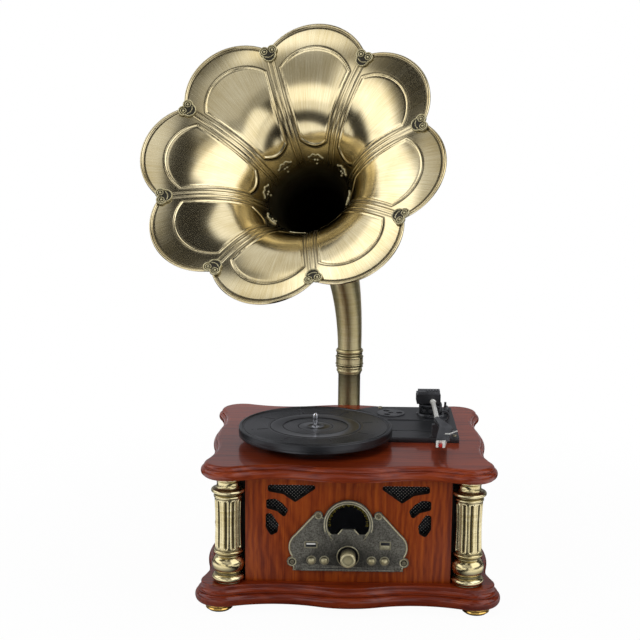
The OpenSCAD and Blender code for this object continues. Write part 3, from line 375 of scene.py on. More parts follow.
# Finishes
wavePeriod = 0.314  # metres from ring to ring of a wave texture at scale 1
boardLook = {"pores": 0.5, "ringShare": 0.12, "roughness": 0.34, "coat": 0.5, "coatRoughness": 0.06,
             "rings": 9.0, "dash": (0.8, 14)}  # rings in mm apart; dash: a pore's width and length in mm
woodLook = {
    # red-brown boards with a quiet figure under a glossy coat; the base board's copy is darker as painted
    # shade, for the shade the case casts on it
    "cherry": {"pale": "#A0421A", "middle": "#8A3414", "dark": "#6A210C", **boardLook},
    "base": {"pale": "#8C3712", "middle": "#78290D", "dark": "#5C1A07", **boardLook},
    # orange veneer with strong dark pores and arches, only half glossy
    "panel": {"pale": "#AC5014", "middle": "#913C0F", "dark": "#6C2406", "pores": 1.4, "ringShare": 0.16,
              "roughness": 0.42, "coat": 0.22, "coatRoughness": 0.16, "rings": 6.5, "dash": (1.1, 24)},
}
woodGrain = {  # how the log lies: turn and place of its heart, and the wave that draws its rings
    "X": {"lean": (0, 0, 1.63), "heart": (0, 0, -0.05),
          "wave": {"wave_type": "BANDS", "bands_direction": "X"}},
    "Z": {"lean": (0.055, 0, 0), "heart": (0.03, 0.19, 0),
          "wave": {"wave_type": "RINGS", "rings_direction": "Z"}},
}


def lacqueredWood(name, look, grain):  # stained hardwood under clear lacquer: soft figure, pores, wet gloss
    finish = startFinish(name)
    log = woodGrain[grain]
    place = objectPoint(finish)

    def alongGrain(wide, long):
        sizes = [wide] * 3
        sizes["XYZ".index(grain)] = long
        return stretched(finish, place, *sizes)

    figure = noise(finish, alongGrain(7, 150), detail=5.0, rough=0.6, sway=0.6)
    # growth rings round a line far behind the face, cut at a shallow angle: arches on the panel
    heart = addNode(finish, "ShaderNodeMapping", {
        "Vector": place, "Location": log["heart"], "Rotation": log["lean"]}).outputs[0]
    sway = steer(finish, "SCALE", {0: noise(finish, place, 90, part="Color"), "Scale": 0.022})
    rings = addNode(finish, "ShaderNodeTexWave", {
        "Vector": steer(finish, "ADD", {0: heart, 1: sway}), "Scale": wavePeriod / (look["rings"] * mm),
        "Distortion": 2.2, "Detail": 3.0, "Detail Scale": 1.2}, **log["wave"]).outputs["Fac"]
    tone = calc(finish, "ADD", figure, calc(finish, "MULTIPLY", rings, look["ringShare"]))
    colour = tint(finish, tone, (0.36, look["dark"]), (0.56, look["middle"]), (0.80, look["pale"]))
    # open pores: dark dashes, drawn about 1 mm wide so that they show
    pores = noise(finish, alongGrain(*look["dash"]))
    poreShare = calc(finish, "MULTIPLY", tint(finish, pores, (0.56, 0.0), (0.68, 1.0)), 0.45 * look["pores"])
    return endFinish(finish, addNode(finish, "ShaderNodeBsdfPrincipled", {
        "Base Color": blended(finish, colour, look["dark"], poreShare), "Roughness": look["roughness"],
        "IOR": 1.5, "Specular IOR Level": 0.12, "Normal": bumped(finish, pores, 0.12, 0.05, invert=True),
        "Coat Weight": look["coat"], "Coat Roughness": look["coatRoughness"], "Coat IOR": 1.5}))


brassLook = {  # streak: a hairline's width, cloud: a patch's size, both in mm; swing: change of roughness
    # pressed sheet: pale gold, mirror-like, brown patina and painted shade in the hollows and the throat
    "horn": {"bright": "#DED0A8", "deep": "#BDAA7A", "filmAndShade": "#2A2010", "roughness": 0.15, "swing": 0.04,
             "metallic": 1.0, "streak": 0.9, "cloud": 60},
    # lathe-turned columns: bright bands along their curves, near-black patina and painted shade in the flutes
    "turned": {"bright": "#DDD0A4", "deep": "#B5A472", "filmAndShade": "#1B150A", "roughness": 0.19, "swing": 0.06,
               "metallic": 1.0, "streak": 3.0, "cloud": 30},
    # drawn tube, brushed round: one long pale glint from top to bottom
    "tube": {"bright": "#E2D5A6", "deep": "#C9B77F", "filmAndShade": "#1B150A", "roughness": 0.40, "swing": 0.04,
             "metallic": 1.0, "streak": 3.0, "cloud": 60, "stretch": 0.95},
    # warm yellow feet with sharp glints
    "polished": {"bright": "#E2BE6E", "deep": "#B98A3A", "filmAndShade": "#3A280E", "roughness": 0.16, "swing": 0.08,
                 "metallic": 1.0, "streak": 0.9, "cloud": 20},
    # greyish plate on knob and buttons, satin and little metallic
    "control": {"bright": "#D2C8A0", "deep": "#B0A67E", "filmAndShade": "#1C1912", "roughness": 0.34, "swing": 0.10,
                "metallic": 0.4, "streak": 0.9, "cloud": 8},
}


def outFromAxis(finish, place, axis, streak):  # changes fast round the axis and slowly along the way out
    own = addNode(finish, "ShaderNodeMapping", {
        "Vector": place, "Location": axis.to_translation(), "Rotation": axis.to_euler()},
        vector_type="TEXTURE").outputs[0]
    parts = addNode(finish, "ShaderNodeSeparateXYZ", {"Vector": own}).outputs
    flat = addNode(finish, "ShaderNodeCombineXYZ", {"X": parts["X"], "Y": parts["Y"]}).outputs[0]
    around = steer(finish, "SCALE", {0: steer(finish, "NORMALIZE", {0: flat}), "Scale": 150 / streak})
    out = calc(finish, "MULTIPLY", steer(finish, "LENGTH", {0: flat}, "Value"), 1 / (40 * mm))
    rise = addNode(finish, "ShaderNodeCombineXYZ", {"Z": out}).outputs[0]
    return steer(finish, "ADD", {0: around, 1: rise})


def brushedBrass(name, look, axis=None):
    # plated brass, brushed: long soft glints, fine hairlines, brown patina and painted shade in the recesses.
    # hairlines run out from the given axis, or round a turned piece, where they change fast along it
    finish = startFinish(name)
    place = objectPoint(finish)
    streakAt = (outFromAxis(finish, place, axis, look["streak"]) if axis
                else stretched(finish, place, 26, 26, look["streak"]))
    streaks = noise(finish, streakAt, detail=3.0, rough=0.7)
    clouds = noise(finish, place, look["cloud"], 3.0)
    tone = calc(finish, "MULTIPLY", calc(finish, "ADD", streaks, clouds), 0.5)
    colour = tint(finish, tone, (0.36, look["deep"]), (0.62, look["bright"]))
    shade, filmAndShade = withPatinaAndShade(finish, colour, look["filmAndShade"])
    half = look["swing"] / 2
    rough = calc(finish, "ADD", ramp(finish, streaks, look["roughness"] - half, look["roughness"] + half),
                 calc(finish, "MULTIPLY", filmAndShade, 0.25))
    shader = addNode(finish, "ShaderNodeBsdfPrincipled", {
        "Base Color": shade, "Metallic": look["metallic"], "Roughness": rough,
        "Normal": bumped(finish, streaks, 0.03, 0.02), "Anisotropic": look.get("stretch", 0.0)})
    if "stretch" in look:  # hairlines round the tube stretch its glints upright
        upright = addNode(finish, "ShaderNodeCombineXYZ", {"Z": 1.0})
        finish.node_tree.links.new(upright.outputs[0], shader.inputs["Tangent"])
    return endFinish(finish, shader)


metalLook = {  # light and dark colour, grain in mm, roughness, bump, metallic
    "pewter": ("#8F8C80", "#45433B", 0.42, 0.46, 0.30, 0.55),  # sand-cast: grey with a dark speckle
    "agedSteel": ("#A59C82", "#5A5444", 1.2, 0.38, 0.05, 0.6),  # plated screws, gone yellow in patches
    "highlightPewter": ("#D0C9A8", "#AAA382", 0.8, 0.36, 0.10, 0.45),  # edges rubbed bright by hands
    "chrome": ("#E4E4E6", "#C9C9CC", 12, 0.08, 0.0, 1.0),  # lighter copy of the pewter for raised parts: painted highlight
    "plainSteel": ("#B4B4B4", "#7E7E80", 1.5, 0.35, 0.04, 1.0),  # rolled sheet with a grey sheen
    "anodised": ("#F4F4F0", "#E4E4E0", 1.0, 0.30, 0.02, 0.15),  # silver-white satin tube
    "gilt": ("#E3C46E", "#B6923F", 2.0, 0.2, 0.0, 1.0),  # gold-plated contacts
    "paintedGlint": ("#DAD6CC", "#C2BEB4", 1.0, 0.42, 0.02, 0.0),  # light dots on the black sheet: painted glints where its webs meet
    "blackPaintAndShade": ("#151517", "#0A0A0B", 0.8, 0.33, 0.06, 0.35),  # thin black coat on steel, half glossy; also black painted shade in the knob's well and the lugs' hollows
}


def castMetal(name, light, dark, size, roughness, bump, metallic):
    # cast or plated metal: fine grain that breaks the shine, darker in its hollows with patina and painted
    # shade
    finish = startFinish(name)
    place = objectPoint(finish)
    grain = noise(finish, place, size, 4.0, 0.65)
    tone = calc(finish, "MULTIPLY", calc(finish, "ADD", grain, noise(finish, place, 1.8)), 0.5)
    shade = withPatinaAndShade(finish, tint(finish, tone, (0.38, dark), (0.62, light)), "#15140F")[0]
    return endFinish(finish, addNode(finish, "ShaderNodeBsdfPrincipled", {
        "Base Color": shade, "Metallic": metallic,
        "Roughness": ramp(finish, grain, roughness * 0.85, roughness * 1.15),
        "Normal": bumped(finish, grain, bump, 0.1)}))


plasticLook = {  # light and dark colour, grain in mm, roughness, bump, stretch of the shine by turned rings
    "deckAbs": ("#1D1E20", "#131416", 0.6, 0.42, 0.10, 0.0),  # spark-eroded grain, satin
    "platterAbs": ("#141518", "#0C0D0F", 0.8, 0.30, 0.06, 0.6),  # turned rings draw the shine into fans
    "armAbs": ("#232427", "#161719", 0.5, 0.34, 0.05, 0.0),  # smoother and glossier than the deck
    "shellAbs": ("#37383B", "#2A2B2E", 0.5, 0.42, 0.12, 0.0),  # dark grey grain
    "greyAbs": ("#4A4B4E", "#37383B", 0.6, 0.40, 0.06, 0.0),  # mid-grey satin
    "whiteAbs": ("#F0F0EC", "#E2E2DC", 1.0, 0.28, 0.02, 0.0),  # bright white gloss
    "redAbs": ("#D0201C", "#A81612", 1.0, 0.25, 0.02, 0.0),  # clear red gloss
    "rubber": ("#222223", "#151516", 0.9, 0.72, 0.15, 0.0),  # moulded rubber, matt
    "dialInk": ("#14161B", "#0C0D11", 2.0, 0.22, 0.01, 0.0),  # printed black behind the window, blue-black
    "yellowInk": ("#E2CF3C", "#C9B22C", 1.5, 0.5, 0.02, 0.0),  # screen-printed marks
    "laminate": ("#1F6B3C", "#14502A", 1.0, 0.38, 0.05, 0.0),  # green circuit board
    "brownBlackWood": ("#241D18", "#120E0B", 1.2, 0.45, 0.10, 0.0),  # wood drawn brown-black and dull
}


def mouldedPlastic(name, light, dark, size, roughness, bump, rings):
    # injection-moulded ABS and the like: even colour, satin grain from the mould
    finish = startFinish(name)
    place = objectPoint(finish)
    grain = noise(finish, place, size, 3.0)
    shader = addNode(finish, "ShaderNodeBsdfPrincipled", {
        "Base Color": tint(finish, noise(finish, place, 25), (0.35, dark), (0.65, light)),
        "Roughness": ramp(finish, grain, roughness - 0.06, roughness + 0.06), "IOR": 1.53,
        "Normal": bumped(finish, grain, bump, 0.1), "Anisotropic": rings})
    if rings:
        tangent = addNode(finish, "ShaderNodeTangent", direction_type="RADIAL", axis="Z")
        finish.node_tree.links.new(tangent.outputs[0], shader.inputs["Tangent"])
    return endFinish(finish, shader)


def clearAcrylic(name):  # thin polished window: nearly unseen, with a faint sheen at a glance
    finish = startFinish(name)
    haze = noise(finish, objectPoint(finish), 6)
    clear = addNode(finish, "ShaderNodeBsdfTransparent")
    gloss = addNode(finish, "ShaderNodeBsdfPrincipled", {
        "Roughness": ramp(finish, haze, 0.03, 0.07), "IOR": 1.49, "Base Color": toLinear("#101214")})
    edge = addNode(finish, "ShaderNodeFresnel", {"IOR": 1.49})
    return endFinish(finish, addNode(finish, "ShaderNodeMixShader", {
        0: edge.outputs[0], 1: clear.outputs[0], 2: gloss.outputs[0]}))


finishes = {
    "cherryAcross": lacqueredWood("cherryLacquer", woodLook["cherry"], "X"),
    "cherryShadedBase": lacqueredWood("cherryLacquerShadedBase", woodLook["base"], "X"),
    "cherryUpright": lacqueredWood("cherryLacquerUpright", woodLook["cherry"], "Z"),
    "panelVeneer": lacqueredWood("cherryVeneer", woodLook["panel"], "Z"),
    "turnedBrass": brushedBrass("antiqueBrassTurned", brassLook["turned"]),
    "tubeBrass": brushedBrass("antiqueBrassTube", brassLook["tube"]),
    "polishedBrass": brushedBrass("brassPolished", brassLook["polished"]),
    "controlBrass": brushedBrass("brassSatin", brassLook["control"]),
    "clearLens": clearAcrylic("acrylicClear"),
    **{key: castMetal(key + "Metal", *look) for key, look in metalLook.items()},
    **{key: mouldedPlastic(key + "Moulded", *look) for key, look in plasticLook.items()},
}
print("finishes made:", len(finishes))


# Camera: fitted to the photograph's platter, boards, panel and horn
cameraSpec = {"place": (-7.87, -1845.09, 686.21), "yaw": 1.00, "pitch": 10.83, "roll": 0.52,
              "focal": 1431.74, "picture": 640, "sensor": 36.0}


def makeCamera(spec):
    yaw, pitch, roll = (math.radians(spec[k]) for k in ("yaw", "pitch", "roll"))
    look = Vector((-math.sin(yaw) * math.cos(pitch), math.cos(yaw) * math.cos(pitch), -math.sin(pitch)))
    level = Vector((math.cos(yaw), math.sin(yaw), 0))
    upright = level.cross(look)
    right = math.cos(roll) * level + math.sin(roll) * upright
    up = math.cos(roll) * upright - math.sin(roll) * level
    data = bpy.data.cameras.new("camera")
    data.sensor_width = spec["sensor"]
    data.lens = spec["focal"] / spec["picture"] * spec["sensor"]
    data.clip_end = 30
    turn = Matrix((right, up, -look)).transposed().to_4x4()
    scene.camera = placed("camera", data, at(*spec["place"]) @ turn)


makeCamera(cameraSpec)
print("camera placed")

# Boards: wavy outlines with a moulded edge
boardSpec = {
    "lobe": 34, "troughX": 87, "troughIn": 13, "troughY": 68, "sideTroughIn": 11, "sideBulgeIn": 5,
    "hole": {"place": (11.155, 18.155), "radius": 19, "from": 150, "to": 190},
    # the base board takes the darker cherry copy: painted shade under the case
    "base": {"size": (384, 342), "low": 0, "thick": 26, "body": "case", "node": "base_board",
             "finish": "cherryShadedBase"},
    "top": {"size": (369, 332), "low": 161, "thick": 18, "body": "case", "node": "top_board",
            "finish": "cherryAcross"},
}


def edgeForm(reach, lobeAt, troughAt, trough, bulge):
    lobe = boardSpec["lobe"]
    span = lobeAt - troughAt
    troughR = (span ** 2 + trough ** 2) / (2 * trough) - lobe
    rise = trough - bulge
    bulgeR = (troughAt ** 2 + rise ** 2) / (2 * rise) - troughR
    troughC, bulgeC = reach - trough + troughR, reach - bulge - bulgeR
    return (troughR, troughAt, troughC, bulgeR, bulgeC,
            math.degrees(math.atan2(reach - lobe - troughC, span)),
            math.degrees(math.atan2(bulgeC - troughC, -troughAt)))


def boardOutline(width, depth, fine=3):  # points of the outline and their outward directions
    lobe = boardSpec["lobe"]
    cx, cy = width / 2 - lobe, depth / 2 - lobe
    across = edgeForm(depth / 2, cx, boardSpec["troughX"], boardSpec["troughIn"], 0)
    along = edgeForm(width / 2, cy, boardSpec["troughY"], boardSpec["sideTroughIn"], boardSpec["sideBulgeIn"])
    points, outs = [], []

    def arc(x, y, radius, start, end, steps, turn, inward):
        for i in range(steps):
            a = math.radians(start + (end - start) * i / steps)
            px, py = x + radius * math.cos(a), y + radius * math.sin(a)
            ox, oy = (-math.cos(a), -math.sin(a)) if inward else (math.cos(a), math.sin(a))
            c, s = math.cos(turn), math.sin(turn)
            points.append((px * c - py * s, px * s + py * c))
            outs.append((ox * c - oy * s, ox * s + oy * c))

    for quarter in range(4):
        turn = math.radians(90 * quarter)
        form, after = (across, along) if quarter % 2 == 0 else (along, across)
        troughR, troughAt, troughC, bulgeR, bulgeC, toLobe, toBulge = form
        corner = (-cx, cy) if quarter % 2 == 0 else (-cy, cx)
        arc(troughAt, troughC, troughR, toLobe, toBulge, 8 * fine, turn, True)
        arc(0, bulgeC, bulgeR, toBulge + 180, -toBulge, 10 * fine, turn, False)
        arc(-troughAt, troughC, troughR, 180 - toBulge, 180 - toLobe, 8 * fine, turn, True)
        arc(corner[0], corner[1], lobe, -toLobe, 270 + after[5], 14 * fine, turn, False)
    return np.array(points), np.array(outs)


def boardProfile(thick):  # height and inset: bead, quirk, cove and rounded upper edge
    def swing(start, count):  # sine and cosine up to a quarter turn
        return [(math.sin(t), math.cos(t)) for t in np.linspace(start, math.pi / 2, count)]

    under = -math.pi / 2
    if thick > 20:  # the base
        bead = [(7.4 + 7.2 * s, 5.0 - 5.0 * c) for s, c in swing(under, 15)]
        cove = [(16.6 + 5.4 * (1 - c), 4.2 + 3.4 * s) for s, c in swing(0, 8)]
        upper = [(24.4 + 1.6 * s, 8.2 + 1.6 * (1 - c) - 0.6) for s, c in swing(0, 6)]
        return [(0, 5.4)] + bead + [(14.9, 5.2), (15.1, 4.2)] + cove + [(22.6, 7.6)] + upper
    bead = [(6.9 + 5.4 * s, 4.0 - 4.0 * c) for s, c in swing(under, 15)]
    foot = [(0.2, 5.6), (0.2, 4.4), (0.9, 4.2), (1.3, 4.2)]
    ovolo = [(13.0 + 5.0 * s, 3.9 + 5.4 * (1 - c)) for s, c in swing(0, 12)]
    return [(0, 6.0)] + foot + bead + [(12.5, 4.3), (12.7, 3.9)] + ovolo


def makeBoard(spec):
    outline, outs = boardOutline(*spec["size"])
    profile = boardProfile(spec["thick"])
    rows = []
    for height, inset in profile:
        ring = outline - outs * inset
        rows.append(np.column_stack([ring, np.full(len(ring), spec["low"] + height)]))
    count = len(outline)
    faces = gridFaces(len(rows), count, closeColumns=True)
    faces += [tuple(range(count))[::-1], tuple(range((len(rows) - 1) * count, len(rows) * count))]
    piece = meshPiece(spec["node"] + "_moulded", np.vstack(rows), faces)
    tidyMesh(piece)
    if spec is boardSpec["top"]:  # the motor hangs through the top board, under the deck plate
        size = boardSpec["hole"]
        radius, low, high = size["radius"], size["from"], size["to"]
        wall = [(0, low), (radius, low), (radius, high), (0, high)]
        hole = lathe("motorHole", wall, 64, at(*size["place"], 0))
        cut = piece.modifiers.new("hole", "BOOLEAN")
        cut.object, cut.operation, cut.solver = hole, "DIFFERENCE", "EXACT"
        applyModifiers(piece)
        bpy.data.objects.remove(hole)
    finishPiece(piece, spec["finish"], spec["body"], [spec["node"]], creaseAt=38)


makeBoard(boardSpec["base"])
makeBoard(boardSpec["top"])
print("boards moulded")

# Case: panels and corner posts
for node, finish, slot, width in (
        ("front_panel", "panelVeneer", "panel_wood", 0.5), ("rear_panel", "panelVeneer", "panel_wood", 0.5),
        ("side_panel_left", "cherryUpright", "cherry_wood", 0.6),
        ("side_panel_right", "cherryUpright", "cherry_wood", 0.6),
        ("corner_posts", "brownBlackWood", "black_wood", 0.8)):
    panel = finishPiece(softCopy(node, width), finish, "case", [node], creaseAt=30)
    if node == "front_panel":  # the walls of its cut-outs are drawn brown-black
        panel.data.materials.append(finishes["brownBlackWood"])
        left, right, low, high = 30, 110, 60, 158  # the box that holds one side's cut-outs
        for face in panel.data.polygons:
            x, z = abs(face.center.x) / mm, face.center.z / mm
            if abs(face.normal.y) < 0.5 and left < x < right and low < z < high:
                face.material_index = 1
print("panels softened")

# Columns: lathe-turned, with fluted shafts whose slots have raised borders
columnSpec = {"places": ((-150, -138.5), (150, -138.5), (-150, 138.5), (150, 138.5)), "foot": 26,
              "flutes": 10, "turn": 11, "slotLow": 46.5, "slotHigh": 104.5, "slotHalf": 1.65, "slotDeep": 1.6,
              "rib": 1.2, "shaft": (42.5, 108.0), "sides": 360,
              "hollows": ((10.9, 1.7), (35.0, 2.2), (42.4, 1.2), (108.4, 1.2), (114.0, 2.2), (121.4, 1.8),
                          (0.2, 1.2))}


def columnProfile():
    def bulge(x, z, wide, high, start, end, steps):
        return [(x + wide * px, z + high * pz) for px, pz in bend(0, 0, 1, start, end, steps)]

    line = [(0, 0), (17.0, 0)]
    line += bulge(14.4, 5.3, 6.0, 5.2, -66, 68, 14)
    line += [(15.9, 10.5), (15.3, 10.9), (15.2, 11.4)]
    line += bulge(9.4, 22.5, 11.0, 12.3, -58, 60, 22)
    line += [(14.3, 33.9), (14.0, 35.0), (14.8, 36.2)]
    line += bend(16.1, 39.3, 2.4, -80, 80, 12)
    line += [(16.4, 42.2), (16.3, 42.8)]
    line += [(16.3 - 0.9 * math.sin(math.pi * t), 42.8 + 65.2 * t) for t in np.linspace(0.01, 1, 110)]
    line += bend(16.0, 110.7, 2.0, -80, 80, 10)
    line += [(15.2, 113.2), (14.9, 114.4), (15.6, 115.4)]
    line += bend(18.6, 118.05, 2.5, -80, 80, 12)
    line += [(17.0, 120.9), (15.0, 122.4), (14.1, 124.4), (14.0, 128.0), (14.4, 130.4), (15.6, 131.6)]
    return line + [(15.8, 132.8), (15.2, 133.6), (15.2, 135), (0, 135)]


def makeColumns(spec):
    profile = np.array(columnProfile())
    points = lathePoints(profile, spec["sides"])
    turn = np.tile(fullTurn(spec["sides"]), len(profile))
    radius = np.hypot(points[:, 0], points[:, 1])
    height = points[:, 2]
    pitch = 2 * math.pi / spec["flutes"]
    across = ((turn + pitch / 2) % pitch - pitch / 2) * radius
    over = np.maximum(np.maximum(spec["slotLow"] - height, height - spec["slotHigh"]), 0)
    toSlot = np.hypot(across, over)
    inside = np.clip(1 - (toSlot / spec["slotHalf"]) ** 2, 0, 1)
    border = np.clip(1 - ((toSlot - spec["slotHalf"] - spec["rib"]) / spec["rib"]) ** 2, 0, 1)
    shaft = (height > spec["shaft"][0]) & (height < spec["shaft"][1])
    change = np.where(shaft, border * 0.65 - np.sqrt(inside) * spec["slotDeep"], 0)
    scale = np.where(radius > 1, (radius + change) / np.maximum(radius, 1e-6), 1)
    points[:, 0] *= scale
    points[:, 1] *= scale
    # darkening in the slots and in every narrow hollow of the turning: patina and painted shade; the plain
    # lands a little darker
    hollow = largest(0, *(near(1.6 * (profile[:, 1] - z), w) for z, w in spec["hollows"]))
    between = toSlot > spec["slotHalf"] + 2 * spec["rib"] + 0.2
    filmAndShade = largest(np.repeat(hollow, spec["sides"]) * 0.85, np.where(shaft & between, 0.12, 0),
                   np.where(shaft, np.clip(inside * 1.6, 0, 1) * 0.92, 0))
    faces = gridFaces(len(profile), spec["sides"], closeColumns=True)
    for i, (x, y) in enumerate(spec["places"]):
        place = at(x, y, spec["foot"], -spec["turn"] if x > 0 else spec["turn"])
        piece = meshPiece("column_turned_%d" % (i + 1), points, faces, place)
        setPatinaAndShade(piece, filmAndShade)
        tidyMesh(piece)
        finishPiece(piece, "turnedBrass", "case", ["columns"], creaseAt=60)


makeColumns(columnSpec)
print("columns turned")

# Feet: low turned brass drums on rubber pads
footSpec = {"places": ((-161, -144), (161, -144), (-161, 144), (161, 144)), "radius": 17, "height": 10,
            "pad": 2}


def makeFeet(spec):
    r, h, pad = spec["radius"], spec["height"], spec["pad"]
    drum = [(0, -h + pad), (r - 2.2, -h + pad)] + bend(r - 1.2, -h + pad + 1.4, 1.3, -90, 40, 8)
    drum += [(r - 0.6, -h + pad + 3.2)] + bend(r - 1.6, -3.0, 1.7, -40, 80, 8)
    drum += [(r - 2.2, -0.6), (r - 2.4, 0), (0, 0)]
    foot = [(0, -h)] + bend(r - 3.8, -h + 0.8, 0.8, -90, 0, 5) + [(r - 3, -h + pad), (0, -h + pad)]
    for i, (x, y) in enumerate(spec["places"]):
        finishPiece(lathe("foot_turned_%d" % (i + 1), drum, 72, at(x, y, 0)), "polishedBrass",
                    "case", ["feet"])
        finishPiece(lathe("pad_round_%d" % (i + 1), foot, 64, at(x, y, 0)), "rubber",
                    "case", ["foot_pads"])


makeFeet(footSpec)
print("feet turned")

# Horn: pressed petals on a flared bell, a bent neck and a turned collar
hornSpec = {
    "tubeY": 187, "bendZ": 255.5, "yaw": 15.3, "tilt": 33.9, "elbowBend": 183, "length": 252.7,
    "flareK": 7430, "flareS": 44.3, "flareC": 1.1, "throat": 100, "roll": -2.5, "petals": 8,
    "tipR": 193.5, "notchR": 167, "wall": 0.8, "rimBead": 2.0,
    "columnsPerPetal": 128, "rows": 200, "rearEvery": 4,
    "archAt": 114.3, "archR": 50.6, "sideGap": 9.9, "panelLow": 56.5, "panelBead": (1.5, 0.95),
    "ridgeGap": 2.9, "ridgeBead": (1.5, 0.8), "rimLine": 3.4, "ridgeEnd": 160, "veinEnd": 51, "veinWide": 0.8,
    "closingAt": 54.6, "darkFrom": 52, "darkOver": 70,
}


def flareDepth(r):
    return hornSpec["flareK"] / (r + hornSpec["flareC"]) - hornSpec["flareS"]


def flareRadius(depth):
    return hornSpec["flareK"] / (depth + hornSpec["flareS"]) - hornSpec["flareC"]


def mouthPlace(roll=0):  # local Z runs out of the mouth, origin at its middle
    s = hornSpec
    lean = math.radians(90 - s["tilt"])
    reach = s["elbowBend"] * (1 - math.cos(lean)) + s["length"] * math.cos(math.radians(s["tilt"]))
    rise = s["elbowBend"] * math.sin(lean) + s["length"] * math.sin(math.radians(s["tilt"]))
    return (at(0, s["tubeY"], s["bendZ"], -s["yaw"]) @ at(0, -reach, rise)
            @ Matrix.Rotation(lean, 4, "X") @ spin(roll))


halfPetal = 180 / hornSpec["petals"]


def rimRadius(angle):
    tip, notch = hornSpec["tipR"], hornSpec["notchR"]
    c = (tip ** 2 - notch ** 2) / (2 * (tip - notch * math.cos(math.radians(halfPetal))))
    return c * np.cos(angle) + np.sqrt((tip - c) ** 2 - (c * np.sin(angle)) ** 2)


def ridge(distance, half):  # smooth raised line, 1 at its middle
    return np.clip(1 - (distance / half) ** 2, 0, 1) ** 1.5


def hollowLine(distance, half):  # darkening beside a raised line: patina and painted shade
    return near(np.abs(distance) - 1.45 * half, 0.55 * half)


def panelDistance(r, angle):  # distance from the embossed outline of a petal, negative inside
    x, y = r * np.cos(angle), np.abs(r * np.sin(angle))
    half = math.radians(halfPetal)
    arch = np.hypot(x - hornSpec["archAt"], y) - hornSpec["archR"]
    side = hornSpec["sideGap"] - (x * math.sin(half) - y * math.cos(half))
    low = hornSpec["panelLow"] - x
    return np.maximum(np.maximum(arch, side), low), low


def pressing(r, angle):  # height of the pressed pattern, and its darkening: patina and painted shade
    s = hornSpec
    outline, low = panelDistance(r, angle)
    width, height = s["panelBead"]
    outside = np.clip((low + 1.2) / 1.2, 0, 1)
    line = ridge(outline, width) * (1 - outside)
    x, y = r * np.cos(angle), np.abs(r * np.sin(angle))
    half = math.radians(halfPetal)
    toRidge = x * math.sin(half) - y * math.cos(half)
    rw, rh = s["ridgeBead"]
    ends = np.clip((s["ridgeEnd"] - r) / 6, 0, 1)
    pair = ridge(toRidge - s["ridgeGap"], rw) * ends
    band = np.clip(1 - np.abs(toRidge) / s["ridgeGap"], 0, 1) ** 0.3 * ends
    edge = rimRadius(angle) - r
    rimLine = ridge(edge - s["rimLine"], 1.2)
    inVein = np.clip((s["veinEnd"] - r) / 3, 0, 1)
    vein = ridge(y, s["veinWide"]) * inVein
    rise = height * line + rh * pair + 0.25 * band - 0.35 * rimLine + 0.4 * vein
    # a panel is pressed a little out, so its border catches the light
    rise += 0.35 * np.clip(-outline / 4, 0, 1)
    beside = toRidge - s["ridgeGap"]
    # patina and painted shade beside the raised lines and in the rim line; painted shade deepening into the
    # throat
    filmAndShade = largest(
        0.92 * near(outline - 1.95, 0.8) * (1 - outside), 0.8 * near(beside - 1.8, 0.75) * ends,
        0.5 * near(beside + 1.7, 0.65) * ends, 0.95 * near(edge - s["rimLine"], 0.95),
        0.9 * np.clip((flareDepth(r) - s["darkFrom"]) / s["darkOver"], 0, 1) ** 1.2,
        0.5 * hollowLine(y, s["veinWide"]) * inVein,
        0.8 * near(x - s["closingAt"], 1.6) * np.clip((12 - y) / 2, 0, 1))
    return rise, filmAndShade


def flareNormal(r):  # outward and forward parts of the direction out of the face
    slope = hornSpec["flareK"] / (r + hornSpec["flareC"]) ** 2
    size = np.hypot(slope, 1)
    return -slope / size, 1 / size


def onFace(r, angle, lift):  # point of the face, lifted off it, in the mouth's place
    back, out = flareNormal(r)
    rr = r + back * lift
    return rr * np.cos(angle), rr * np.sin(angle), -flareDepth(r) + out * lift


